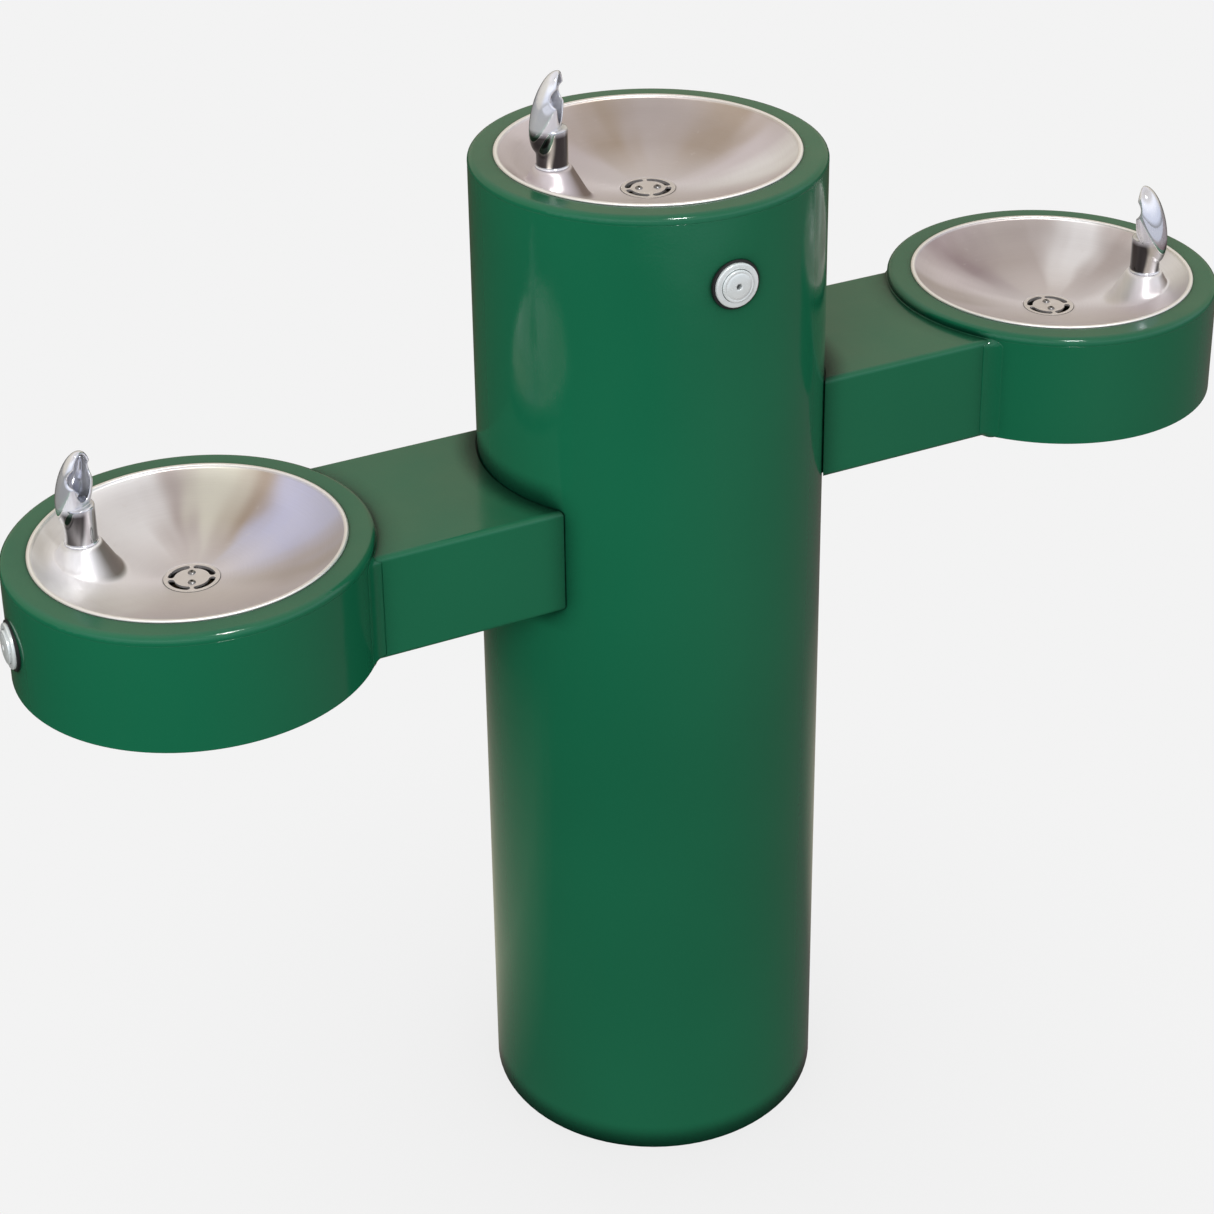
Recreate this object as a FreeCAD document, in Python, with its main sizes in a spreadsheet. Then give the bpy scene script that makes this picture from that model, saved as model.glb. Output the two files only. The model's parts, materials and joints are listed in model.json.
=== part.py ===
import FreeCAD, Part
import math
import os

import Sketcher
from FreeCAD import Placement, Rotation, Vector

# A three-height outdoor drinking fountain. A column of 12 inch pipe carries one bowl on top and
# one bowl on each of two box-section arms. The arms lie along X, the front of the column faces -Y,
# and the origin is the centre of the column on the ground. Lengths are in millimetres.

SIZES = [
    # Column, bowl shells and their top rings
    ("pipe_radius", 161.9, "outside radius of the 12 inch pipe"),
    ("pipe_wall", 4.8, "wall of the column and the bowl shells"),
    ("column_height", 997, "ground to the column's rim"),
    ("left_rim", 716, "ground to the left bowl's rim"),
    ("right_rim", 785, "ground to the right bowl's rim"),
    ("shell_depth", 110.5, "rim to the underside of a bowl shell"),
    ("ring_thickness", 8, "top ring, rim to underside"),
    ("ring_opening", 136, "radius of the hole in a top ring"),
    ("edge_round", 6, "rounding of a top ring's outer edge"),
    # Arms
    ("arm_reach", 450, "column axis to side bowl axis"),
    ("arm_width", 186, "arm, across"),
    ("arm_depth", 102, "arm, top to bottom"),
    ("arm_drop", 9, "rim of a side bowl to the arm's top face"),
    ("arm_sheet", 3, "sheet of the arm"),
    ("arm_gap", 1.2, "gap between the arm's sheet and the column"),
    ("arm_corner", 5, "outside bend of the arm's corners"),
    ("saddle_thickness", 10, "curved end plate inside the arm"),
    ("window_width", 128, "pipe window between arm and column, across"),
    ("window_height", 84, "pipe window, top to bottom"),
    ("bolt_radius", 5, "arm bolt, M10"),
    ("bolt_rise", 33, "arm bolts above and below the arm's middle"),
    ("bolt_spread", 29, "degrees between an arm bolt and the arm's axis"),
    # Base and access door
    ("flange_inside", 105, "inside radius of the base flange"),
    ("flange_thickness", 12, "base flange"),
    ("anchor_circle", 130, "radius of the anchor bolt circle"),
    ("anchor_radius", 7, "anchor bolt hole"),
    ("door_width", 190, "access door, across"),
    ("door_height", 300, "access door, top to bottom"),
    ("door_middle", 285, "ground to the middle of the door"),
    ("door_gap", 1.5, "gap round the door"),
    ("frame_border", 16, "reach of the backing frame outside the door's edge"),
    ("frame_lap", 20, "reach of the backing frame inside the door's edge"),
    ("frame_sheet", 4, "backing frame"),
    # Bowls
    ("bead_radius", 2.2, "rolled bead on a bowl's edge"),
    ("bead_circle", 136.4, "radius of the bead's centre line"),
    ("bowl_sheet", 1.5, "sheet of a bowl"),
    ("shoulder_radius", 126, "foot of the short steep wall under the bead"),
    ("shoulder_depth", 9, "depth of that foot under the rim"),
    ("dish_curve", 278, "radius of the dish's arc"),
    ("bowl_depth", 38, "rim to the lowest part of the dish"),
    ("sump_radius", 25, "recess that the strainer lies in"),
    ("sump_depth", 2, "depth of that recess"),
    ("drain_hole", 21.8, "radius of the hole in the bowl"),
    ("bubbler_reach", 93, "bowl axis to bubbler axis"),
    ("boss_top", 17, "radius of the bubbler platform"),
    ("boss_foot", 41, "radius of the platform's cone at its foot"),
    ("boss_height", 42, "platform to the foot of its cone"),
    ("platform_drop", 1, "rim to the bubbler platform"),
    # Bubblers
    ("collar_radius", 14.3, "bubbler collar"),
    ("collar_height", 36.5, "bubbler collar"),
    ("shank_radius", 7.9, "threaded shank under the collar"),
    ("shank_length", 42, "platform to the end of the shank"),
    ("hood_middle", 50, "platform to the middle of the hood"),
    ("hood_back", 2.5, "hood's middle behind the collar axis"),
    ("hood_long", 40, "half length of the hood"),
    ("hood_wide", 17.3, "half width of the hood"),
    ("hood_deep", 15, "half depth of the hood"),
    ("hood_lean", 14.5, "degrees the hood leans forward"),
    ("hood_wall", 3, "wall of the hood"),
    ("face_reach", 8.5, "collar axis to the flat face of the hood"),
    ("notch_reach", 12.5, "collar axis to the middle of the notch in the hood's face"),
    ("notch_height", 66.5, "platform to the middle of that notch"),
    ("notch_radius", 9, "radius of that notch"),
    ("nozzle_radius", 3.45, "nozzle shank"),
    ("nozzle_back", 3, "nozzle behind the collar axis"),
    # Push buttons and valves, measured along the button's axis from the pipe's axis
    ("column_button_drop", 69.5, "rim to button, column"),
    ("side_button_drop", 60.5, "rim to button, side bowls"),
    ("barrel_radius", 18, "barrel through the pipe wall"),
    ("bezel_radius", 20.5, "bezel flange"),
    ("button_radius", 15, "push button"),
    ("running_gap", 0.1, "clearance of a sliding or turning part"),
    ("gasket_radius", 22.7, "rubber gasket behind the bezel"),
    ("stem_radius", 4, "valve stem"),
    ("tube_radius", 4.76, "3/8 inch supply tube"),
    ("port_radius", 4.8, "socket for the supply tube"),
    # Drains and supply
    ("tail_radius", 15.9, "drain tailpiece"),
    ("branch_radius", 12.7, "drain branch in an arm"),
    ("stack_radius", 19.05, "drain stack and trap"),
    ("pipe_skin", 1.5, "wall of the drain tubes"),
    ("riser_radius", 7.94, "supply riser, free end"),
    ("spigot_radius", 7.5, "spigots of the supply fittings"),
    ("riser_shoulder", 190, "ground to the shoulder of the riser"),
    ("riser_back", 80, "supply riser behind the column axis"),
]


class Size:
    """A number together with the spreadsheet formula that gives it."""

    def __init__(self, value, formula):
        self.value = float(value)
        self.formula = formula

    def __add__(self, other):
        other = as_size(other)
        return Size(self.value + other.value, f"({self.formula} + {other.formula})")

    def __sub__(self, other):
        other = as_size(other)
        return Size(self.value - other.value, f"({self.formula} - {other.formula})")

    def __mul__(self, other):
        other = as_size(other)
        return Size(self.value * other.value, f"({self.formula} * {other.formula})")

    def __truediv__(self, other):
        other = as_size(other)
        return Size(self.value / other.value, f"({self.formula} / {other.formula})")

    def __radd__(self, other):
        return as_size(other) + self

    def __rsub__(self, other):
        return as_size(other) - self

    def __rmul__(self, other):
        return as_size(other) * self

    def __neg__(self):
        return Size(-self.value, f"(0 - {self.formula})")

    def __float__(self):
        return self.value


def as_size(amount):
    """A plain number becomes a Size whose formula is that number."""
    if isinstance(amount, Size):
        return amount
    return Size(amount, f"({amount})")


class Sheet:
    """Gives each spreadsheet cell by its alias, such as size.pipe_radius."""

    def __init__(self, document):
        self.cells = document.addObject("Spreadsheet::Sheet", "Sizes")
        for row, (alias, value, meaning) in enumerate(SIZES, start=1):
            self.cells.set(f"A{row}", alias)
            self.cells.set(f"B{row}", str(value))
            self.cells.set(f"C{row}", meaning)
            self.cells.setAlias(f"B{row}", alias)
            setattr(self, alias, Size(value, f"Sizes.{alias}"))
        document.recompute()


doc = FreeCAD.newDocument("DrinkingFountain")
size = Sheet(doc)
sub_parts = []

UP = Rotation()
ALONG_X = Rotation(Vector(0, 0, 1), Vector(1, 0, 0))
ALONG_Y = Rotation(Vector(0, 0, 1), Vector(0, 1, 0))


# ---------------------------------------------------------------- building blocks


def sub_part(name):
    """A new body whose label is the name of its file."""
    body = doc.addObject("PartDesign::Body", name)
    body.Label = name
    sub_parts.append(body)
    return body


def bind(item, prop, amount):
    """Ties a property to the spreadsheet."""
    item.setExpression(prop, as_size(amount).formula)


def place(item, at=(0, 0, 0), turn=UP, prop="Placement"):
    """Turns an item, and ties its position to the spreadsheet."""
    numbers = Vector(*[float(a) for a in at])
    setattr(item, prop, Placement(numbers, turn))
    for letter, amount in zip("xyz", at):
        if isinstance(amount, Size):
            bind(item, f"{prop}.Base.{letter}", amount)


def arc_centre(start, end, radius, side):
    """The centre of the arc from start to end, left of the chord for side 1 and right for -1."""
    chord = end - start
    middle = (start + end) * 0.5
    rise = math.sqrt(max(radius**2 - (chord.Length / 2) ** 2, 0.0))
    left = Vector(-chord.y, chord.x, 0).normalize()
    return middle + left * rise * side


def add_segment(sketch, start, end, bend):
    """Adds a line, or an arc if bend is (radius, side). Returns its index and its two end numbers."""
    if bend is None:
        return sketch.addGeometry(Part.LineSegment(start, end), False), 1, 2
    radius, side = bend
    centre = arc_centre(start, end, float(radius), side)
    circle = Part.Circle(centre, Vector(0, 0, 1), float(radius))
    first, last = (start, end) if side > 0 else (end, start)
    from_angle = math.atan2(first.y - centre.y, first.x - centre.x)
    to_angle = math.atan2(last.y - centre.y, last.x - centre.x)
    if to_angle < from_angle:
        to_angle += 2 * math.pi
    index = sketch.addGeometry(Part.ArcOfCircle(circle, from_angle, to_angle), False)
    return (index, 1, 2) if side > 0 else (index, 2, 1)


def add_loop(sketch, corners, bends=None):
    """A closed loop through the corners. bends maps a corner's number to the arc that leaves it."""
    bends = bends or {}
    points = [Vector(float(x), float(y), 0) for x, y in corners]
    segments = []
    for i, point in enumerate(points):
        segments.append(add_segment(sketch, point, points[(i + 1) % len(points)], bends.get(i)))
    for i, (index, first, _) in enumerate(segments):
        before, _, last = segments[i - 1]
        sketch.addConstraint(Sketcher.Constraint("Coincident", before, last, index, first))
        for kind, amount in zip(("DistanceX", "DistanceY"), corners[i]):
            datum = Sketcher.Constraint(kind, -1, 1, index, first, float(amount))
            number = sketch.addConstraint(datum)
            sketch.setExpression(f"Constraints[{number}]", as_size(amount).formula)
        if i in bends:
            radius = bends[i][0]
            number = sketch.addConstraint(Sketcher.Constraint("Radius", index, float(radius)))
            sketch.setExpression(f"Constraints[{number}]", as_size(radius).formula)


def add_circle(sketch, across, up, radius):
    """A circle whose centre and radius are tied to the spreadsheet."""
    centre = Vector(float(across), float(up), 0)
    index = sketch.addGeometry(Part.Circle(centre, Vector(0, 0, 1), float(radius)), False)
    for kind, amount in (("DistanceX", across), ("DistanceY", up)):
        datum = Sketcher.Constraint(kind, -1, 1, index, 3, float(amount))
        number = sketch.addConstraint(datum)
        sketch.setExpression(f"Constraints[{number}]", as_size(amount).formula)
    number = sketch.addConstraint(Sketcher.Constraint("Radius", index, float(radius)))
    sketch.setExpression(f"Constraints[{number}]", as_size(radius).formula)


def rounded_rectangle(across, up, width, height, corner):
    """Corners and bends of a rectangle with rounded corners, centred on (across, up)."""
    right, left = across + width / 2, across - width / 2
    top, low = up + height / 2, up - height / 2
    corners = [
        (left + corner, low),
        (right - corner, low),
        (right, low + corner),
        (right, top - corner),
        (right - corner, top),
        (left + corner, top),
        (left, top - corner),
        (left, low + corner),
    ]
    return corners, {i: (corner, 1) for i in (1, 3, 5, 7)}


def new_sketch(body, name, plane, offset=0):
    """An empty sketch on one of the body's own planes, moved along that plane's normal."""
    sketch = body.newObject("Sketcher::SketchObject", f"{body.Name}_{name}")
    face = next(f for f in body.Origin.OriginFeatures if f.Role == plane)
    sketch.AttachmentSupport = (face, "")
    sketch.MapMode = "FlatFace"
    place(sketch, (0, 0, as_size(offset)), prop="AttachmentOffset")
    return sketch


def revolve(body, name, corners, bends=None, cut=False, axis="V_Axis"):
    """Turns a profile in the XZ plane about Z, or about X with axis H_Axis."""
    sketch = new_sketch(body, f"{name}_profile", "XZ_Plane")
    add_loop(sketch, corners, bends)
    kind = "PartDesign::Groove" if cut else "PartDesign::Revolution"
    feature = body.newObject(kind, f"{body.Name}_{name}")
    feature.Profile = sketch
    feature.ReferenceAxis = (sketch, [axis])
    feature.Angle = 360
    return feature


def extrude(body, name, sketch, length, cut=False, reverse=False):
    """Pads a sketch along its normal, or pockets it against its normal; reverse turns it round."""
    feature = body.newObject("PartDesign::Pocket" if cut else "PartDesign::Pad", f"{body.Name}_{name}")
    feature.Profile = sketch
    feature.Reversed = reverse
    bind(feature, "Length", length)
    return feature


def primitive(body, kind, name, at=(0, 0, 0), turn=UP, cut=False, **sizes):
    """Adds or cuts a PartDesign primitive such as a Cylinder, Cone, Box or Ellipsoid."""
    family = "Subtractive" if cut else "Additive"
    feature = body.newObject(f"PartDesign::{family}{kind}", f"{body.Name}_{name}")
    for prop, amount in sizes.items():
        bind(feature, prop, amount)
    place(feature, at, turn)
    return feature


def hexagon(body, name, across_flats, length, offset, plane="XY_Plane"):
    """A hexagonal bar with its axis on the plane's normal."""
    sketch = new_sketch(body, f"{name}_hexagon", plane, offset)
    corner = across_flats / math.sqrt(3)
    turns = [math.radians(60 * i + 30) for i in range(6)]
    add_loop(sketch, [(corner * math.cos(a), corner * math.sin(a)) for a in turns])
    return extrude(body, name, sketch, length)


def copies(name, masters, spots):
    """One sub-part holding a copy of each master at each spot; the masters are not sub-parts."""
    doc.recompute()
    solids = []
    for master in masters:
        sub_parts.remove(master)
        for spot in spots:
            solid = master.Shape.copy()
            solid.Placement = spot.multiply(solid.Placement)
            solids.append(solid)
    group = doc.addObject("Part::Feature", name)
    group.Label = name
    group.Shape = Part.makeCompound(solids)
    sub_parts.append(group)


def tube_wire(points, bend):
    """A wire through the points whose corners are rounded to the bend radius."""
    edges = []
    start = points[0]
    for before, corner, after in zip(points, points[1:], points[2:]):
        inward = (before - corner).normalize()
        outward = (after - corner).normalize()
        turn = math.pi - inward.getAngle(outward)
        back = bend * math.tan(turn / 2)
        first = corner + inward * back
        last = corner + outward * back
        centre = corner + (inward + outward).normalize() * (bend / math.cos(turn / 2))
        middle = centre + (corner - centre).normalize() * bend
        edges.append(Part.LineSegment(start, first).toShape())
        edges.append(Part.Arc(first, middle, last).toShape())
        start = last
    edges.append(Part.LineSegment(start, points[-1]).toShape())
    return Part.Wire(edges)


def swept_rod(wire, radius):
    """A solid rod along a wire."""
    start = wire.Vertexes[0].Point
    direction = wire.Edges[0].tangentAt(wire.Edges[0].FirstParameter)
    section = Part.Wire(Part.makeCircle(radius, start, direction))
    return wire.makePipeShell([section], True, False)


def bent_tubes(name, runs, radius, wall, bend):
    """Hollow tubes as one sub-part, each a separate solid through its own run of points."""
    solids = []
    for run in runs:
        wire = tube_wire([Vector(*[float(a) for a in point]) for point in run], bend)
        outside = swept_rod(wire, float(radius))
        inside = swept_rod(wire, float(radius) - float(wall))
        solids += outside.cut(inside).Solids
    piece = doc.addObject("Part::Feature", name)
    piece.Label = name
    piece.Shape = Part.makeCompound(solids)
    sub_parts.append(piece)


# ---------------------------------------------------------------- where things stand


class Station:
    """One bowl with its bubbler, button and valve."""

    def __init__(self, name, across, rim, button_drop, button_angle, bubbler_angle, facing):
        self.name = name
        self.across = as_size(across)
        self.rim = rim
        self.button_drop = button_drop
        self.button_angle = button_angle
        self.bubbler_angle = bubbler_angle
        self.facing = facing
        self.button_height = rim - button_drop

    def at_rim(self, body, angle=0):
        """Places a body in the bowl's frame: its origin is the middle of the rim's plane."""
        place(body, (self.across, 0, self.rim), Rotation(Vector(0, 0, 1), angle))

    def platform(self):
        """The middle of the bubbler platform, tied to the spreadsheet."""
        turn = math.radians(self.bubbler_angle)
        return (
            self.across + size.bubbler_reach * math.cos(turn),
            size.bubbler_reach * math.sin(turn),
            self.rim - size.platform_drop,
        )

    def bubbler_spot(self):
        """The middle of the bubbler platform as a plain vector."""
        return Vector(*[float(amount) for amount in self.platform()])

    def valve_frame(self):
        """X points out of the button, and the origin is on the pipe's axis at the button's height."""
        base = Vector(self.across.value, 0, self.button_height.value)
        return Placement(base, Rotation(Vector(0, 0, 1), self.button_angle))

    def at_valve(self, body):
        """Places a body in the valve's frame."""
        place(body, (self.across, 0, self.button_height), Rotation(Vector(0, 0, 1), self.button_angle))


STATIONS = [
    Station("center", 0, size.column_height, size.column_button_drop, 270, 178, -40),
    Station("left", -size.arm_reach, size.left_rim, size.side_button_drop, 180, 153, -55),
    Station("right", size.arm_reach, size.right_rim, size.side_button_drop, 0, 333, 122),
]
CENTER, LEFT, RIGHT = STATIONS


# ---------------------------------------------------------------- column, shells and arms


def pipe_length(body, low, high):
    """A length of the 12 inch pipe standing on its axis."""
    inside = size.pipe_radius - size.pipe_wall
    outside = size.pipe_radius
    revolve(body, "pipe", [(inside, low), (outside, low), (outside, high), (inside, high)])


def button_hole(body, angle, height, across=0):
    """The hole that the bezel's barrel passes through."""
    turn = Rotation(Vector(0, 0, 1), angle).multiply(ALONG_X)
    spot = (across, 0, height)
    primitive(body, "Cylinder", "button_hole", spot, turn, cut=True,
              Radius=size.barrel_radius + 0.4, Height=size.pipe_radius + 10)


def pipe_window(body, name, height, length, reverse):
    """A rounded window along X, cut from the YZ plane outwards."""
    sketch = new_sketch(body, name, "YZ_Plane")
    corner = as_size(10)
    window = rounded_rectangle(as_size(0), height, size.window_width, size.window_height, corner)
    add_loop(sketch, *window)
    extrude(body, f"{name}_cut", sketch, length, cut=True, reverse=reverse)


def bolt_holes(body, name, middle, side, radius, length):
    """Four radial holes round an arm's end. side is 1 for the right arm and -1 for the left."""
    toward = 0 if side > 0 else 180
    spread = size.bolt_spread.value
    for number, (turn, rise) in enumerate([(a, b) for a in (-spread, spread) for b in (-1, 1)]):
        rotation = Rotation(Vector(0, 0, 1), toward + turn).multiply(ALONG_X)
        spot = (0, 0, middle + size.bolt_rise * rise)
        primitive(body, "Cylinder", f"{name}_{number}", spot, rotation, cut=True,
                  Radius=radius, Height=length)


def arm_middle(rim):
    """Height of an arm's middle."""
    return rim - size.arm_drop - size.arm_depth / 2


def door_outline(body, name, grow, corner):
    """The door's outline with rounded corners, made larger or smaller all round by grow."""
    sketch = new_sketch(body, name, "XZ_Plane")
    width = size.door_width + 2 * as_size(grow)
    height = size.door_height + 2 * as_size(grow)
    add_loop(sketch, *rounded_rectangle(as_size(0), size.door_middle, width, height, as_size(corner)))
    return sketch


def pedestal_tube():
    body = sub_part("pedestal_tube")
    pipe_length(body, as_size(0), size.column_height - size.ring_thickness)
    button_hole(body, CENTER.button_angle, CENTER.button_height)
    for station, side in ((LEFT, -1), (RIGHT, 1)):
        middle = arm_middle(station.rim)
        pipe_window(body, f"{station.name}_window", middle, size.pipe_radius + 10, side > 0)
        length = size.pipe_radius + 5
        bolt_holes(body, f"{station.name}_bolt", middle, side, size.bolt_radius + 0.5, length)
    opening = door_outline(body, "door_opening", size.door_gap, 13.5)
    extrude(body, "door_cut", opening, size.pipe_radius + 10, cut=True)


def top_ring(station):
    """The welded ring round a bowl, with a rounded outer edge."""
    body = sub_part("pedestal_top_ring" if station is CENTER else f"{station.name}_top_ring")
    inside, outside = size.ring_opening, size.pipe_radius
    corners = [
        (inside, -size.ring_thickness),
        (outside, -size.ring_thickness),
        (outside, -size.edge_round),
        (outside - size.edge_round, as_size(0)),
        (inside, as_size(0)),
    ]
    revolve(body, "ring", corners, {2: (size.edge_round, 1)})
    station.at_rim(body)


def base_flange():
    body = sub_part("base_flange")
    outside = size.pipe_radius - size.pipe_wall
    revolve(body, "ring", [
        (size.flange_inside, as_size(0)),
        (outside, as_size(0)),
        (outside, size.flange_thickness),
        (size.flange_inside, size.flange_thickness),
    ])
    sketch = new_sketch(body, "anchor_hole", "XY_Plane")
    half = size.anchor_circle / math.sqrt(2)
    add_circle(sketch, half, half, size.anchor_radius)
    hole = extrude(body, "anchor_cut", sketch, size.flange_thickness + 1, cut=True, reverse=True)
    pattern = body.newObject("PartDesign::PolarPattern", "base_flange_anchor_pattern")
    pattern.Originals = [hole]
    pattern.Axis = (sketch, ["N_Axis"])
    pattern.Angle = 360
    pattern.Occurrences = 4
    body.Tip = pattern


def curved_panel(body, inside, outside, grow, corner):
    """A panel with the door's outline, bent to the pipe's curve between two radii."""
    sketch = door_outline(body, "panel", grow, corner)
    extrude(body, "panel_pad", sketch, size.pipe_radius + 20, reverse=True)
    low = size.door_middle - size.door_height
    high = size.door_middle + size.door_height
    far = size.pipe_radius + 60
    hollow = [(as_size(0), low), (inside, low), (inside, high), (as_size(0), high)]
    revolve(body, "hollow", hollow, cut=True)
    skin = [(outside, low), (far, low), (far, high), (outside, high)]
    revolve(body, "skin", skin, cut=True)


def door_screw_turns():
    """Angle from +X and height of each door screw."""
    side = size.door_width / 2 - 10
    turn = math.degrees(math.asin(side.value / size.pipe_radius.value))
    rise = size.door_height / 2 - 12
    return [(90 + sign * turn, size.door_middle + rise * up) for sign in (-1, 1) for up in (-1, 1)]


def screw_clearance(body, radius):
    for number, (angle, height) in enumerate(door_screw_turns()):
        turn = Rotation(Vector(0, 0, 1), angle).multiply(ALONG_X)
        primitive(body, "Cylinder", f"screw_hole_{number}", (0, 0, height), turn, cut=True,
                  Radius=radius, Height=size.pipe_radius + 20)


def access_door():
    body = sub_part("access_door")
    curved_panel(body, size.pipe_radius - size.pipe_wall, size.pipe_radius, as_size(0), 12)
    screw_clearance(body, as_size(2.7))


def door_frame():
    """The backing frame welded inside the column, that the door lands on."""
    body = sub_part("door_frame")
    outside = size.pipe_radius - size.pipe_wall
    curved_panel(body, outside - size.frame_sheet, outside, size.frame_border, 20)
    opening = door_outline(body, "inner", -size.frame_lap, 8)
    extrude(body, "inner_cut", opening, size.pipe_radius, cut=True)
    screw_clearance(body, as_size(2.5))


def door_screws():
    """Button-head security screws, one near each corner of the door."""
    master = sub_part("door_screw_master")
    surface = size.pipe_radius
    revolve(master, "screw", [
        (surface - 13, as_size(0)),
        (surface - 13, as_size(2.45)),
        (surface, as_size(2.45)),
        (surface, as_size(4.75)),
        (surface + 2.8, as_size(2.6)),
        (surface + 2.8, as_size(1.4)),
        (surface + 1.2, as_size(1.4)),
        (surface + 1.2, as_size(0)),
    ], {3: (as_size(4), 1)}, axis="H_Axis")
    spots = []
    for angle, height in door_screw_turns():
        spots.append(Placement(Vector(0, 0, height.value), Rotation(Vector(0, 0, 1), angle)))
    copies("door_screws", [master], spots)


def arm_outline(body, name, middle, inset, corner):
    """The arm's rounded section, made smaller all round by inset."""
    sketch = new_sketch(body, name, "YZ_Plane")
    width = size.arm_width - 2 * as_size(inset)
    depth = size.arm_depth - 2 * as_size(inset)
    add_loop(sketch, *rounded_rectangle(as_size(0), middle, width, depth, corner))
    return sketch


def arm_skin(station, side):
    """The arm's folded sheet, coped to the bowl shell and kept just clear of the column."""
    body = sub_part(f"{station.name}_arm_skin")
    middle = arm_middle(station.rim)
    outline = arm_outline(body, "section", middle, as_size(0), size.arm_corner)
    inner_corner = size.arm_corner - size.arm_sheet
    inner = rounded_rectangle(as_size(0), middle, size.arm_width - 2 * size.arm_sheet,
                              size.arm_depth - 2 * size.arm_sheet, inner_corner)
    add_loop(outline, *inner)
    extrude(body, "section_pad", outline, size.arm_reach, reverse=side < 0)
    low = middle - size.arm_depth
    primitive(body, "Cylinder", "column_cope", (0, 0, low), cut=True,
              Radius=size.pipe_radius + size.arm_gap, Height=size.arm_depth * 2)
    primitive(body, "Cylinder", "shell_cope", (size.arm_reach * side, 0, low), cut=True,
              Radius=size.pipe_radius, Height=size.arm_depth * 2)
    return body


def arm_saddle(station, side):
    """The curved plate welded into the arm's end, that the arm is bolted through."""
    body = sub_part(f"{station.name}_arm_saddle")
    middle = arm_middle(station.rim)
    corner = size.arm_corner - size.arm_sheet
    outline = arm_outline(body, "outline", middle, size.arm_sheet, corner)
    extrude(body, "pad", outline, size.pipe_radius + 20, reverse=side < 0)
    low, high = middle - size.arm_depth, middle + size.arm_depth
    inside, outside = size.pipe_radius + size.saddle_thickness, size.pipe_radius * 2
    revolve(body, "trim", [(inside, low), (outside, low), (outside, high), (inside, high)], cut=True)
    primitive(body, "Cylinder", "column_face", (0, 0, low), cut=True,
              Radius=size.pipe_radius, Height=size.arm_depth * 2)
    pipe_window(body, "window", middle, size.pipe_radius + 20, side > 0)
    depth = size.pipe_radius + size.saddle_thickness + 0.5
    bolt_holes(body, "bolt", middle, side, size.bolt_radius + 0.02, depth)
    return body


def arm(station, side):
    """A box-section arm welded to its bowl shell and bolted to the column."""
    skin = arm_skin(station, side)
    saddle = arm_saddle(station, side)
    sub_parts.remove(skin)
    sub_parts.remove(saddle)
    whole = doc.addObject("Part::Fuse", f"{station.name}_arm")
    whole.Label = whole.Name
    whole.Base = skin
    whole.Tool = saddle
    sub_parts.append(whole)


def shell(station, side):
    """A short length of pipe round a side bowl, with four blocks that hold its bottom cover."""
    body = sub_part(f"{station.name}_shell")
    block = 14
    for number, (x, y) in enumerate(cover_screw_spots()):
        turn = math.degrees(math.atan2(y, x))
        spot_turn = Rotation(Vector(0, 0, 1), turn)
        reach = size.pipe_radius - size.pipe_wall - block
        spot = (reach * math.cos(math.radians(turn)) + math.sin(math.radians(turn)) * block / 2,
                reach * math.sin(math.radians(turn)) - math.cos(math.radians(turn)) * block / 2,
                5 - size.shell_depth)
        primitive(body, "Box", f"cover_block_{number}", spot, spot_turn,
                  Length=block + 3, Width=block, Height=block)
        primitive(body, "Cylinder", f"cover_thread_{number}", (x, y, 4 - size.shell_depth), cut=True,
                  Radius=as_size(2.5), Height=as_size(12))
    pipe_length(body, -size.shell_depth, -size.ring_thickness)
    button_hole(body, station.button_angle, -size.side_button_drop)
    middle = -size.arm_drop - size.arm_depth / 2
    pipe_window(body, "window", middle, size.pipe_radius + 10, side < 0)
    station.at_rim(body)


def cover_screw_spots():
    """Places of the bottom cover's screws, in a side bowl's frame."""
    reach = float(size.pipe_radius - size.pipe_wall - 8)
    turns = [math.radians(a) for a in (50, 130, 230, 310)]
    return [(reach * math.cos(a), reach * math.sin(a)) for a in turns]


def bottom_cover(station):
    """The sheet that closes a bowl shell from below."""
    body = sub_part(f"{station.name}_bottom_cover")
    low, high = 2 - size.shell_depth, 5 - size.shell_depth
    rim = size.pipe_radius - size.pipe_wall - 0.8
    revolve(body, "disc", [(as_size(0), low), (rim, low), (rim, high), (as_size(0), high)])
    for number, (x, y) in enumerate(cover_screw_spots()):
        primitive(body, "Cylinder", f"screw_hole_{number}", (x, y, low - 1), cut=True,
                  Radius=as_size(2.8), Height=as_size(5))
    station.at_rim(body)


def cover_screws():
    """Button-head screws that hold both bottom covers, heads down."""
    master = sub_part("cover_screw_master")
    revolve(master, "screw", [
        (as_size(0), as_size(13)),
        (as_size(2.45), as_size(13)),
        (as_size(2.45), as_size(0)),
        (as_size(4.75), as_size(0)),
        (as_size(2.6), as_size(-2.8)),
        (as_size(1.4), as_size(-2.8)),
        (as_size(1.4), as_size(-1.2)),
        (as_size(0), as_size(-1.2)),
    ], {3: (as_size(4), -1)})
    spots = []
    for station in (LEFT, RIGHT):
        height = float(station.rim - size.shell_depth + 2)
        for x, y in cover_screw_spots():
            spots.append(Placement(Vector(station.across.value + x, y, height), UP))
    copies("cover_screws", [master], spots)


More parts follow.
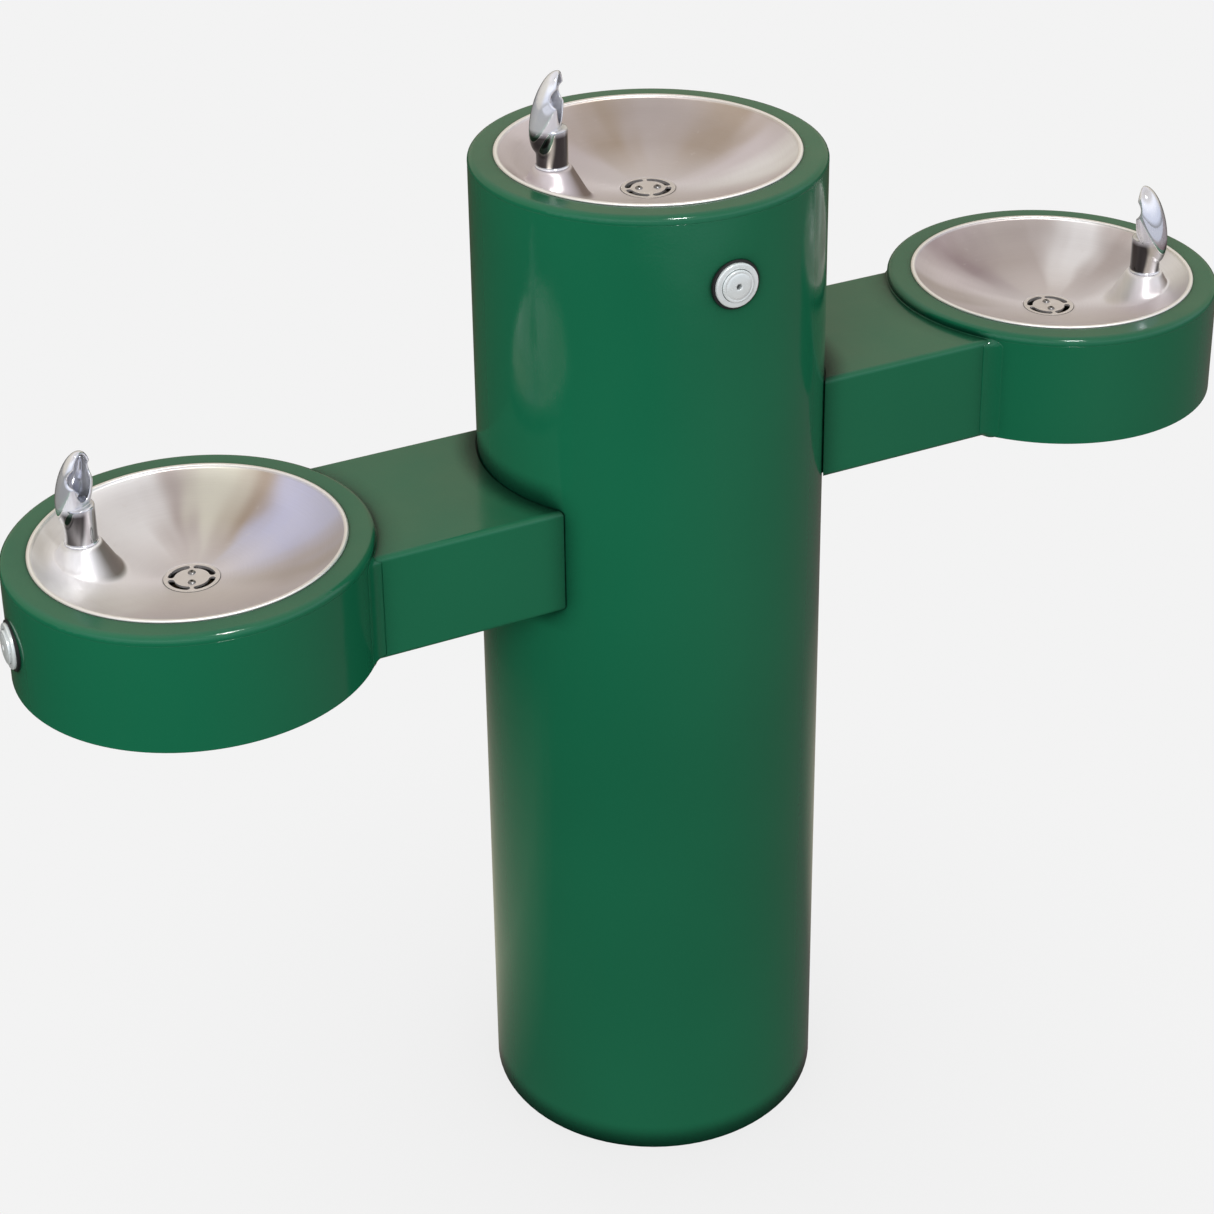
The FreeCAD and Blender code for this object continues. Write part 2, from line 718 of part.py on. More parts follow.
def arm_bolts():
    """Hex bolts from inside the column into the arms' saddles."""
    master = sub_part("arm_bolt_master")
    seat = float(size.pipe_radius - size.pipe_wall) - 0.5
    hexagon(master, "head", 16, as_size(6.4), as_size(seat - 6.4), "YZ_Plane")
    primitive(master, "Cylinder", "body", (seat - 1, 0, 0), ALONG_X,
              Radius=size.bolt_radius, Height=as_size(16))
    spread = size.bolt_spread.value
    spots = []
    for station, toward in ((LEFT, 180), (RIGHT, 0)):
        for turn in (-spread, spread):
            for rise in (-1, 1):
                height = float(arm_middle(station.rim) + size.bolt_rise * rise)
                rotation = Rotation(Vector(0, 0, 1), toward + turn)
                spots.append(Placement(Vector(0, 0, height), rotation))
    copies("arm_bolts", [master], spots)


# ---------------------------------------------------------------- bowls and drains


def bowl(station):
    """A pressed bowl: a shallow dish, a beaded edge, and a raised boss for the bubbler."""
    body = sub_part(f"{station.name}_bowl")
    sheet = size.bowl_sheet
    floor = -size.bowl_depth
    sump = floor - size.sump_depth
    neck = size.bead_circle - size.bead_radius
    lip = size.bead_circle + size.bead_radius
    under_shoulder = (size.shoulder_radius + sheet * 0.5, -size.shoulder_depth - sheet)
    under_floor = (size.sump_radius + sheet, floor - sheet)
    boss_foot = -size.platform_drop - size.boss_height
    boss_spot = (size.bubbler_reach, 0, boss_foot)
    deep = boss_foot - 10
    primitive(body, "Cone", "boss", boss_spot, Radius1=size.boss_foot, Radius2=size.boss_top,
              Height=size.boss_height)
    far = lip + 30
    revolve(body, "boss_trim", [
        (as_size(0), floor - sheet),
        (under_floor[0], floor - sheet),
        under_shoulder,
        (neck + sheet, as_size(0)),
        (far, as_size(0)),
        (far, deep),
        (as_size(0), deep),
    ], {1: (size.dish_curve + sheet, 1)}, cut=True)
    revolve(body, "dish", [
        (size.drain_hole, sump),
        (size.sump_radius, sump),
        (size.sump_radius, floor),
        (size.shoulder_radius, -size.shoulder_depth),
        (neck, as_size(0)),
        (lip, as_size(0)),
        (neck + sheet, as_size(0)),
        under_shoulder,
        under_floor,
        (under_floor[0], sump - sheet),
        (size.drain_hole, sump - sheet),
    ], {2: (size.dish_curve, 1), 4: (size.bead_radius, -1), 7: (size.dish_curve + sheet, -1)})
    slope = (size.boss_foot - size.boss_top) / size.boss_height
    primitive(body, "Cone", "boss_hollow", (size.bubbler_reach, 0, boss_foot - 4), cut=True,
              Radius1=size.boss_foot - sheet * 1.3 + slope * 4,
              Radius2=size.boss_top - sheet * 1.3 + slope * sheet,
              Height=size.boss_height + 4 - sheet)
    primitive(body, "Cylinder", "shank_hole", (size.bubbler_reach, 0, -10), cut=True,
              Radius=size.shank_radius + 0.3, Height=as_size(12))
    station.at_rim(body, station.bubbler_angle)


def strainer(station):
    """The perforated drain cover: four curved slots round two security screws."""
    body = sub_part(f"{station.name}_strainer")
    top = -size.bowl_depth
    low = top - size.sump_depth
    rim = size.sump_radius - 0.3
    revolve(body, "disc", [(as_size(0), low), (rim, low), (rim, top), (as_size(0), top)])
    sketch = new_sketch(body, "slot", "XY_Plane", low)
    inside, outside = 15.6, 21.2
    half = math.radians(32)
    middle = math.radians(45)
    points = []
    for radius, angle in ((outside, middle - half), (outside, middle + half),
                          (inside, middle + half), (inside, middle - half)):
        points.append((radius * math.cos(angle), radius * math.sin(angle)))
    end = (outside - inside) / 2 * 1.001
    bends = {0: (outside, 1), 1: (end, 1), 2: (inside, -1), 3: (end, 1)}
    add_loop(sketch, points, bends)
    slot = extrude(body, "slot_cut", sketch, size.sump_depth + 1, cut=True, reverse=True)
    pattern = body.newObject("PartDesign::PolarPattern", f"{body.Name}_slot_pattern")
    pattern.Originals = [slot]
    pattern.Axis = (sketch, ["N_Axis"])
    pattern.Angle = 360
    pattern.Occurrences = 4
    body.Tip = pattern
    for side in (-1, 1):
        primitive(body, "Cylinder", f"screw_hole_{side + 1}", (8.4 * side, 0, low - 1), cut=True,
                  Radius=as_size(2.2), Height=size.sump_depth + 2)
    station.at_rim(body, strainer_angle(station))


def strainer_angle(station):
    """The screws of each strainer lie roughly across the user's view."""
    return station.button_angle + 90 - 18


def strainer_screws():
    """Two small security screws in each strainer."""
    master = sub_part("strainer_screw_master")
    revolve(master, "screw", [
        (as_size(0), as_size(-11.5)),
        (as_size(2), as_size(-11.5)),
        (as_size(2), as_size(0)),
        (as_size(3.6), as_size(0)),
        (as_size(2.2), as_size(1.6)),
        (as_size(1.2), as_size(1.6)),
        (as_size(1.2), as_size(0.4)),
        (as_size(0), as_size(0.4)),
    ], {3: (as_size(2.6), 1)})
    spots = []
    for station in STATIONS:
        turn = math.radians(strainer_angle(station))
        for side in (-8.4, 8.4):
            spot = Vector(station.across.value + side * math.cos(turn), side * math.sin(turn),
                          float(station.rim - size.bowl_depth))
            spots.append(Placement(spot, UP))
    copies("strainer_screws", [master], spots)


def drain_body(station):
    """The cup under a bowl that the strainer screws into, with its tailpiece."""
    body = sub_part(f"{station.name}_drain_body")
    top = -size.bowl_depth - size.sump_depth - size.bowl_sheet
    tail = size.tail_radius
    revolve(body, "cup", [
        (as_size(21.3), top),
        (as_size(24.5), top),
        (as_size(24.5), top - 9),
        (tail + 1.6, top - 15),
        (tail + 1.6, top - 23),
        (tail - 3, top - 23),
        (tail - 3, top - 15),
        (as_size(21.3), top - 9),
    ])
    primitive(body, "Box", "crossbar", (-22, -5, top - 9), Length=44, Width=10, Height=6)
    for side in (-1, 1):
        primitive(body, "Cylinder", f"thread_{side + 1}", (8.4 * side, 0, top - 10), cut=True,
                  Radius=as_size(2.05), Height=as_size(8))
    station.at_rim(body, strainer_angle(station))


# ---------------------------------------------------------------- bubblers


def bubbler(station):
    """A cast bubbler: collar, shank, and a hollow leaning hood with an open face and a side notch."""
    body = sub_part(f"{station.name}_bubbler")
    lean = Rotation(Vector(0, 1, 0), size.hood_lean.value)
    middle = (-size.hood_back, 0, size.hood_middle)
    collar, top = size.collar_radius, size.collar_height
    primitive(body, "Ellipsoid", "hood", middle, lean, Radius1=size.hood_long,
              Radius2=size.hood_deep, Radius3=size.hood_wide)
    primitive(body, "Ellipsoid", "hollow", middle, lean, cut=True,
              Radius1=size.hood_long - size.hood_wall, Radius2=size.hood_deep - size.hood_wall,
              Radius3=size.hood_wide - size.hood_wall)
    primitive(body, "Ellipsoid", "mound", (-9.2, 0, top - 12.5), Radius1=as_size(12.5),
              Radius2=as_size(10.5), Radius3=as_size(12))
    primitive(body, "Box", "face", (size.face_reach, -30, top), cut=True,
              Length=30, Width=60, Height=70)
    primitive(body, "Cylinder", "notch", (size.notch_reach, -30, size.notch_height), ALONG_Y,
              cut=True, Radius=size.notch_radius, Height=as_size(60))
    revolve(body, "collar", [
        (as_size(0), -size.shank_length),
        (size.shank_radius, -size.shank_length),
        (size.shank_radius, as_size(0)),
        (collar + 0.9, as_size(0)),
        (collar + 0.9, as_size(1.6)),
        (collar, as_size(2.2)),
        (collar, top - 1.5),
        (collar - 1.5, top),
        (as_size(0), top),
    ])
    primitive(body, "Cylinder", "supply", (0, 0, -size.shank_length), cut=True,
              Radius=as_size(3.8), Height=size.shank_length + 31)
    primitive(body, "Cylinder", "tube_socket", (0, 0, -size.shank_length), cut=True,
              Radius=size.port_radius, Height=as_size(6))
    primitive(body, "Cylinder", "nozzle_bore", (-size.nozzle_back, 0, 29), cut=True,
              Radius=size.nozzle_radius + 0.05, Height=as_size(15))
    place(body, station.platform(), Rotation(Vector(0, 0, 1), station.facing))


def bubbler_nozzles():
    """The nozzle in each cup: a shank, a domed head and a fine orifice."""
    master = sub_part("nozzle_master")
    shank = size.nozzle_radius
    revolve(master, "nozzle", [
        (as_size(1.3), as_size(30)),
        (shank, as_size(30)),
        (shank, as_size(43.5)),
        (as_size(4.6), as_size(43.5)),
        (as_size(4.6), as_size(45)),
        (as_size(1.3), as_size(47.5)),
    ], {4: (as_size(5), 1)})
    spots = []
    for station in STATIONS:
        turn = Rotation(Vector(0, 0, 1), station.facing)
        back = turn.multVec(Vector(-size.nozzle_back.value, 0, 0))
        spots.append(Placement(station.bubbler_spot() + back, UP))
    copies("bubbler_nozzles", [master], spots)


def bubbler_nuts():
    """Under each bubbler: the lock nut that clamps it to the bowl, and the tube's coupling nut."""
    lock = sub_part("bubbler_lock_nut_master")
    sheet = size.bowl_sheet
    hexagon(lock, "hex", 25, as_size(6), -sheet - 6.2)
    primitive(lock, "Cylinder", "bore", (0, 0, -sheet - 7), cut=True,
              Radius=size.shank_radius + 0.02, Height=as_size(8))
    coupling = sub_part("bubbler_coupling_master")
    end = -size.shank_length
    hexagon(coupling, "hex", 21, as_size(14), end - 6)
    primitive(coupling, "Cylinder", "thread", (0, 0, end), cut=True,
              Radius=size.shank_radius + 0.02, Height=as_size(9))
    primitive(coupling, "Cylinder", "tube_hole", (0, 0, end - 7), cut=True,
              Radius=size.port_radius, Height=as_size(8))
    spots = [Placement(s.bubbler_spot(), UP) for s in STATIONS]
    copies("bubbler_lock_nuts", [lock], spots)
    copies("bubbler_coupling_nuts", [coupling], spots)


# ---------------------------------------------------------------- push buttons and valves


def bezel(station):
    """The chrome bezel and barrel that the button slides in."""
    body = sub_part(f"{station.name}_bezel")
    face = size.pipe_radius + 4.2
    seat = size.pipe_radius + 1.2
    bore = size.button_radius + size.running_gap
    web = size.pipe_radius - 24
    end = size.pipe_radius - 40
    revolve(body, "bezel", [
        (end, as_size(14)),
        (end, size.barrel_radius),
        (seat, size.barrel_radius),
        (seat, size.bezel_radius),
        (face - 1.5, size.bezel_radius),
        (face, size.bezel_radius - 1.5),
        (face, bore + 0.6),
        (face - 0.6, bore),
        (web, bore),
        (web, size.stem_radius + size.running_gap),
        (web - 5, size.stem_radius + size.running_gap),
        (web - 5, as_size(14)),
    ], {4: (as_size(1.5), 1)}, axis="H_Axis")
    station.at_valve(body)


def button(station):
    """The push button: a chrome cap with a dimple, and a blind hole for its stem."""
    body = sub_part(f"{station.name}_button")
    rear = size.pipe_radius - 6
    face = size.pipe_radius + 7.2
    edge = size.button_radius
    revolve(body, "cap", [
        (size.pipe_radius - 1, as_size(0)),
        (size.pipe_radius - 1, size.stem_radius),
        (rear, size.stem_radius),
        (rear, edge),
        (face - 2, edge),
        (face - 0.7, edge - 1.5),
        (face, as_size(1.8)),
        (face - 1.6, as_size(1.8)),
        (face - 1.6, as_size(0)),
    ], {4: (as_size(2), 1), 5: (as_size(160), 1)}, axis="H_Axis")
    station.at_valve(body)


def plunger(station):
    """The stem that the button pushes, with the poppet that it lifts off the valve seat."""
    body = sub_part(f"{station.name}_plunger")
    stem = size.stem_radius
    poppet = size.pipe_radius - 62.1
    revolve(body, "stem", [
        (poppet - 4, as_size(0)),
        (poppet - 4, as_size(7.5)),
        (poppet - 0.8, as_size(8.3)),
        (poppet, as_size(8.3)),
        (poppet, stem),
        (size.pipe_radius - 1, stem),
        (size.pipe_radius - 1, as_size(0)),
    ], axis="H_Axis")
    station.at_valve(body)


def return_spring(station):
    """The coil that returns the button, between the button and the bezel's web."""
    wire, mean, turns, arcs_per_turn = 0.9, 10.5, 4, 6
    low = float(size.pipe_radius) - 24 + wire + 0.1
    high = float(size.pipe_radius) - 6 - wire - 0.1

    def on_coil(arcs):
        turn = 2 * math.pi * arcs / arcs_per_turn
        along = low + (high - low) * arcs / (turns * arcs_per_turn)
        return Vector(along, mean * math.cos(turn), mean * math.sin(turn))

    edges = []
    for arc in range(turns * arcs_per_turn):
        edges.append(Part.Arc(on_coil(arc), on_coil(arc + 0.5), on_coil(arc + 1)).toShape())
    piece = doc.addObject("Part::Feature", f"{station.name}_spring")
    piece.Label = piece.Name
    piece.Shape = swept_rod(Part.Wire(edges), wire)
    station.at_valve(piece)
    sub_parts.append(piece)


def valve_body(station):
    """The self-closing valve behind the button: seat, inlet at the rear, outlet at the side."""
    body = sub_part(f"{station.name}_valve_body")
    start = size.pipe_radius
    guide = size.stem_radius + size.running_gap
    revolve(body, "body", [
        (start - 84, size.port_radius),
        (start - 84, as_size(9)),
        (start - 80, as_size(16)),
        (start - 41, as_size(16)),
        (start - 41, as_size(13.9)),
        (start - 29.5, as_size(13.9)),
        (start - 29.5, guide),
        (start - 44, guide),
        (start - 44, as_size(9)),
        (start - 58, as_size(9)),
        (start - 58, as_size(6)),
        (start - 62, as_size(6)),
        (start - 62, as_size(11)),
        (start - 74, as_size(11)),
        (start - 74, size.port_radius),
    ], axis="H_Axis")
    spot = (start - 51, 0, 0)
    toward = Rotation(Vector(0, 0, 1), Vector(0, -1, 0))
    primitive(body, "Cylinder", "outlet", (start - 51, -12.5, 0), toward,
              Radius=as_size(8), Height=as_size(12))
    primitive(body, "Cylinder", "outlet_bore", spot, toward, cut=True,
              Radius=size.port_radius, Height=as_size(26))
    station.at_valve(body)


def button_gaskets():
    """Rubber gaskets outside and inside the pipe wall, cut to its curve."""
    outer = sub_part("outer_gasket_master")
    start = size.pipe_radius
    primitive(outer, "Cylinder", "disc", (start - 8, 0, 0), ALONG_X,
              Radius=size.gasket_radius, Height=as_size(9.2))
    primitive(outer, "Cylinder", "pipe", (0, 0, -40), cut=True, Radius=start, Height=as_size(80))
    primitive(outer, "Cylinder", "bore", (start - 20, 0, 0), ALONG_X, cut=True,
              Radius=size.barrel_radius + 0.1, Height=as_size(30))
    inner = sub_part("inner_gasket_master")
    wall = start - size.pipe_wall
    flat = wall - 4.6
    primitive(inner, "Cylinder", "disc", (flat, 0, 0), ALONG_X, Radius=as_size(24), Height=as_size(8))
    far = start + 30
    revolve(inner, "pipe", [(wall, as_size(-40)), (far, as_size(-40)), (far, as_size(40)),
                            (wall, as_size(40))], cut=True)
    primitive(inner, "Cylinder", "bore", (flat - 5, 0, 0), ALONG_X, cut=True,
              Radius=size.barrel_radius + 0.1, Height=as_size(30))
    nut = sub_part("button_lock_nut_master")
    hexagon(nut, "hex", 46, as_size(6), flat - 6.1, "YZ_Plane")
    primitive(nut, "Cylinder", "bore", (flat - 8, 0, 0), ALONG_X, cut=True,
              Radius=size.barrel_radius + 0.02, Height=as_size(10))
    frames = [s.valve_frame() for s in STATIONS]
    copies("button_gaskets", [outer, inner], frames)
    copies("button_lock_nuts", [nut], frames)


# ---------------------------------------------------------------- plumbing


def bubbler_tubes():
    """The tube from each valve's outlet to its bubbler's shank."""
    runs = []
    for station in STATIONS:
        frame = station.valve_frame()
        outlet = float(size.pipe_radius) - 51
        shank_end = station.bubbler_spot() - Vector(0, 0, size.shank_length.value - 5)
        spot = frame.inverse().multVec(shank_end)
        local = [
            Vector(outlet, -14, 0),
            Vector(outlet, spot.y, 0),
            Vector(spot.x, spot.y, 0),
            spot,
        ]
        runs.append([frame.multVec(point) for point in local])
    bent_tubes("bubbler_tubes", runs, size.tube_radius, 0.9, 11.5)


def supply_tubes():
    """One tube from the manifold to each valve."""
    top = MANIFOLD_TOP - 8
    back = size.riser_back.value
    inlet = float(size.pipe_radius) - 76
    runs = []
    for station, sign in ((LEFT, -1), (RIGHT, 1)):
        height = station.button_height.value
        reach = abs(station.across.value)
        runs.append([
            (16 * sign, back, top),
            (16 * sign, back, height),
            (110 * sign, 42, height),
            ((reach - 5) * sign, 42, height),
            ((reach + 40) * sign, 0, height),
            ((reach + inlet) * sign, 0, height),
        ])
    height = CENTER.button_height.value
    runs.append([
        (0, back, top),
        (0, back, height - 70),
        (50, 48, height),
        (50, -18, height),
        (0, -50, height),
        (0, -inlet, height),
    ])
    bent_tubes("supply_tubes", runs, size.tube_radius, 0.9, 16)


def tail_top(station):
    """Height at which the pipe under a drain cup begins."""
    return float(station.rim - size.bowl_depth - size.sump_depth - size.bowl_sheet) - 18.5


def drain_branches():
    """The waste tube that runs from each side bowl through its arm to the stack."""
    runs = []
    for station, side in ((LEFT, -1), (RIGHT, 1)):
        level = tail_top(station) - 22
        runs.append([
            (station.across.value, 0, tail_top(station)),
            (station.across.value, 0, level),
            (30 * side, 0, level - BRANCH_FALL),
        ])
    bent_tubes("drain_branches", runs, size.branch_radius, size.pipe_skin, 17)


BRANCH_FALL = 6
STACK_LOW = 330
TRAP_LOW = 168
TRAP_WEIR = 262
OUTLET_END = 20


def drain_stack():
    """The waste pipe down the middle of the column, with a socket for each branch."""
    body = sub_part("drain_stack")
    top = tail_top(CENTER)
    outside, inside = size.stack_radius, size.stack_radius - size.pipe_skin
    hub = outside + 3
    revolve(body, "pipe", [
        (as_size(0), as_size(STACK_LOW)),
        (hub, as_size(STACK_LOW)),
        (hub, as_size(STACK_LOW + 30)),
        (outside, as_size(STACK_LOW + 30)),
        (outside, as_size(top)),
        (as_size(0), as_size(top)),
    ])
    for station, side in ((LEFT, -1), (RIGHT, 1)):
        slope = BRANCH_FALL / (abs(station.across.value) - 30)
        level = tail_top(station) - 22 - slope * abs(station.across.value)
        lean = -math.degrees(math.atan(slope))
        turn = Rotation(Vector(0, 1, 0), lean * side).multiply(
            Rotation(Vector(0, 0, 1), Vector(side, 0, 0)))
        primitive(body, "Cylinder", f"{station.name}_socket", (0, 0, level), turn,
                  Radius=size.branch_radius + 3, Height=as_size(48))
        primitive(body, "Cylinder", f"{station.name}_socket_bore", (0, 0, level), turn, cut=True,
                  Radius=size.branch_radius + 0.3, Height=as_size(52))
    revolve(body, "bore", [
        (as_size(0), as_size(STACK_LOW - 5)),
        (outside + 0.1, as_size(STACK_LOW - 5)),
        (outside + 0.1, as_size(STACK_LOW + 20)),
        (inside, as_size(STACK_LOW + 20)),
        (inside, as_size(top + 5)),
        (as_size(0), as_size(top + 5)),
    ], cut=True)


def drain_trap():
    """The trap that keeps sewer air out, and its outlet through the ground."""
    run = [
        (0, 0, STACK_LOW + 19),
        (0, 0, TRAP_LOW),
        (69, 0, TRAP_LOW),
        (69, 0, TRAP_WEIR),
        (30, -60, TRAP_WEIR),
        (30, -60, OUTLET_END),
    ]
    bent_tubes("drain_trap", [run], size.stack_radius, size.pipe_skin, 34)


RISER_TOP = 215
STOP_TOP = 285
STRAINER_TOP = 372
MANIFOLD_TOP = 440


def on_riser(body):
    """Places a body on the supply riser's axis."""
    place(body, (0, size.riser_back, 0))


def supply_riser():
    body = sub_part("supply_riser")
    inside = size.spigot_radius - 1.2
    revolve(body, "tube", [
        (inside, as_size(OUTLET_END)),
        (size.riser_radius, as_size(OUTLET_END)),
        (size.riser_radius, size.riser_shoulder),
        (size.spigot_radius, size.riser_shoulder),
        (size.spigot_radius, as_size(RISER_TOP)),
        (inside, as_size(RISER_TOP)),
    ])
    on_riser(body)


def stop_valve_body():
    """The quarter-turn stop: a body with a bonnet towards the access door."""
    body = sub_part("stop_valve_body")
    bore = size.spigot_radius + 0.05
    low, high = RISER_TOP - 15, STOP_TOP
    revolve(body, "body", [
        (as_size(0), as_size(low)),
        (as_size(12), as_size(low)),
        (as_size(12), as_size(low + 17)),
        (as_size(17), as_size(low + 24)),
        (as_size(17), as_size(high - 24)),
        (as_size(12), as_size(high - 17)),
        (as_size(12), as_size(high)),
        (as_size(0), as_size(high)),
    ])
    middle = (low + high) / 2
    primitive(body, "Cylinder", "bonnet", (0, 0, middle), ALONG_Y, Radius=as_size(9), Height=as_size(24))
    revolve(body, "bore", [
        (as_size(0), as_size(low - 1)),
        (bore, as_size(low - 1)),
        (bore, as_size(low + 15)),
        (as_size(6.5), as_size(low + 15)),
        (as_size(6.5), as_size(high - 12)),
        (bore, as_size(high - 12)),
        (bore, as_size(high + 1)),
        (as_size(0), as_size(high + 1)),
    ], cut=True)
    primitive(body, "Cylinder", "spindle_bore", (0, 9, middle), ALONG_Y, cut=True,
              Radius=as_size(4.05), Height=as_size(20))
    on_riser(body)


def stop_valve_lever():
    """The lever on the stop: it points along the pipe when open and across it when closed."""
    body = sub_part("stop_valve_lever")
    middle = as_size((RISER_TOP - 15 + STOP_TOP) / 2)
    sketch = new_sketch(body, "plate", "XZ_Plane", -28.4)
    add_loop(sketch, *rounded_rectangle(as_size(0), middle + 24, as_size(16), as_size(72), as_size(7.9)))
    extrude(body, "plate_pad", sketch, as_size(4))
    primitive(body, "Cylinder", "spindle", (0, 10, middle), ALONG_Y,
              Radius=as_size(4), Height=as_size(16))
    primitive(body, "Cylinder", "hub", (0, 24.4, middle), ALONG_Y, Radius=as_size(8), Height=as_size(7))
    on_riser(body)


def inline_strainer():
    """The screen housing between the stop and the manifold, with its union tube."""
    body = sub_part("inline_strainer")
    low = STOP_TOP - 11
    revolve(body, "housing", [
        (as_size(5.5), as_size(low)),
        (size.spigot_radius, as_size(low)),
        (size.spigot_radius, as_size(STOP_TOP + 8)),
        (as_size(18), as_size(STOP_TOP + 14)),
        (as_size(18), as_size(STRAINER_TOP - 14)),
        (size.spigot_radius, as_size(STRAINER_TOP - 8)),
        (size.spigot_radius, as_size(STRAINER_TOP + 12)),
        (as_size(5.5), as_size(STRAINER_TOP + 12)),
        (as_size(5.5), as_size(STRAINER_TOP - 12)),
        (as_size(15.5), as_size(STRAINER_TOP - 18)),
        (as_size(15.5), as_size(STOP_TOP + 18)),
        (as_size(5.5), as_size(STOP_TOP + 12)),
    ])
    on_riser(body)


def supply_manifold():
    """The block that shares the supply between the three valves."""
    body = sub_part("supply_manifold")
    low = STRAINER_TOP + 2
    sketch = new_sketch(body, "block", "XY_Plane", as_size(low))
    add_loop(sketch, *rounded_rectangle(as_size(0), as_size(0), as_size(52), as_size(24), as_size(4)))
    extrude(body, "block_pad", sketch, as_size(MANIFOLD_TOP - low))
    primitive(body, "Cylinder", "inlet", (0, 0, low - 1), cut=True,
              Radius=size.spigot_radius + 0.05, Height=as_size(11.1))
    primitive(body, "Cylinder", "gallery_feed", (0, 0, low + 5), cut=True,
              Radius=as_size(5), Height=as_size(22))
    primitive(body, "Cylinder", "gallery", (-22, 0, low + 24), ALONG_X, cut=True,
              Radius=as_size(5), Height=as_size(44))
    for x in (-16, 0, 16):
        primitive(body, "Cylinder", f"outlet_{x + 16}", (x, 0, low + 24), cut=True,
                  Radius=size.port_radius, Height=as_size(MANIFOLD_TOP - low))
    on_riser(body)


# ---------------------------------------------------------------- build, check and write


def build():
    """Makes every sub-part."""
    pedestal_tube()
    base_flange()
    access_door()
    door_frame()
    door_screws()
    for station in STATIONS:
        top_ring(station)
        bowl(station)
        strainer(station)
        drain_body(station)
        bubbler(station)
        bezel(station)
        button(station)
        plunger(station)
        return_spring(station)
        valve_body(station)
    for station, side in ((LEFT, -1), (RIGHT, 1)):
        arm(station, side)
        shell(station, side)
        bottom_cover(station)
    arm_bolts()
    cover_screws()
    strainer_screws()
    bubbler_nozzles()
    bubbler_nuts()
    button_gaskets()
    bubbler_tubes()
    supply_tubes()
    drain_branches()
    drain_stack()
    drain_trap()
    supply_riser()
    stop_valve_body()
    stop_valve_lever()
    inline_strainer()
    supply_manifold()
    doc.recompute()


def check_cuts():
    """A cut that points away from the solid removes nothing, so each one is measured."""
    for item in doc.Objects:
        kind = item.TypeId.removeprefix("PartDesign::")
        if not kind.startswith(("Subtractive", "Pocket", "Groove")):
            continue
        before = item.BaseFeature
        if before is None or before.Shape.Volume - item.Shape.Volume < 0.01:
            raise RuntimeError(f"{item.Label} cuts nothing")


def check_parts():
    """Stops if an object failed, or if a sub-part's shape is missing or broken."""
    for item in doc.Objects:
        if "Invalid" in item.State or "Error" in item.State:
            raise RuntimeError(f"{item.Label} failed: {item.State}")
    for part in sub_parts:
        if part.Shape.isNull() or not part.Shape.isValid() or not part.Shape.Solids:
            raise RuntimeError(f"{part.Label} has no valid solid")


def write():
    """Writes each sub-part's shape to parts/NAME.step."""
    os.makedirs("parts", exist_ok=True)
    for part in sub_parts:
        part.Shape.exportStep(f"parts/{part.Label}.step")


build()
check_parts()
check_cuts()
write()
print(f"wrote {len(sub_parts)} sub-parts")
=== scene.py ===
import json
import math

import bpy
import numpy as np
from mathutils import Matrix, Vector


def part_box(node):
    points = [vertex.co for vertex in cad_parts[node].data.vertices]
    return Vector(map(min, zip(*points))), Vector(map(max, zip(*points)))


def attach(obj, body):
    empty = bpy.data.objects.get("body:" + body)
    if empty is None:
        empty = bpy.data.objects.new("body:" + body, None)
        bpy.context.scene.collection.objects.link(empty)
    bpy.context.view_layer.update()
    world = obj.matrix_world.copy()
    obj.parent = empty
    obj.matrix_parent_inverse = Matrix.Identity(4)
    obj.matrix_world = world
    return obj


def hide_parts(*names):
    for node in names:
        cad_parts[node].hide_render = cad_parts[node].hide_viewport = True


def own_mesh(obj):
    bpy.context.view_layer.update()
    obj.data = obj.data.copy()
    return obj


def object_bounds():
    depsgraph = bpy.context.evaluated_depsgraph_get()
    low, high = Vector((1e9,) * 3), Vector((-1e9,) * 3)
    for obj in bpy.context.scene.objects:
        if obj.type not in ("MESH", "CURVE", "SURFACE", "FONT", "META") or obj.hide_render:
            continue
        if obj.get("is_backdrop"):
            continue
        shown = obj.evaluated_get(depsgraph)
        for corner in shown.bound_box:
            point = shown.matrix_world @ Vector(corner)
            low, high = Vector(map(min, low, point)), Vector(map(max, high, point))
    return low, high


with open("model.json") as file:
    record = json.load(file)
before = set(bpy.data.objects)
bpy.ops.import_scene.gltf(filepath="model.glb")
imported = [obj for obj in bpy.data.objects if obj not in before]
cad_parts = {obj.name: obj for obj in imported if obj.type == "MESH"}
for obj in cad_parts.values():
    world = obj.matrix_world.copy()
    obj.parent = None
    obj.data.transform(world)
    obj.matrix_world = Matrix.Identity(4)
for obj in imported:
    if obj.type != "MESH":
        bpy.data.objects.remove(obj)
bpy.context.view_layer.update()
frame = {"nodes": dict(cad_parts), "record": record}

MM = 0.001
ROOT = "fountain"
scene = bpy.context.scene


# ---------------------------------------------------------------- where things are

# Degrees from +X: where a station's button and bubbler stand, and which way its hood faces.
STATIONS = {
    "center": {"ring": "pedestal_top_ring", "button": 270, "bubbler": 178, "facing": -40},
    "left": {"ring": "left_top_ring", "button": 180, "bubbler": 153, "facing": -55},
    "right": {"ring": "right_top_ring", "button": 0, "bubbler": 333, "facing": 122},
}
BUBBLER_REACH = 93.0
for station, spec in STATIONS.items():
    low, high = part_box(spec["ring"])
    spec["x"] = (low.x + high.x) / 2 / MM
    spec["rim"] = high.z / MM
    low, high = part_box(f"{station}_bezel")
    spec["button_z"] = (low.z + high.z) / 2 / MM
low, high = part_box("pedestal_top_ring")
PIPE = (high.x - low.x) / 2 / MM


# ---------------------------------------------------------------- node materials


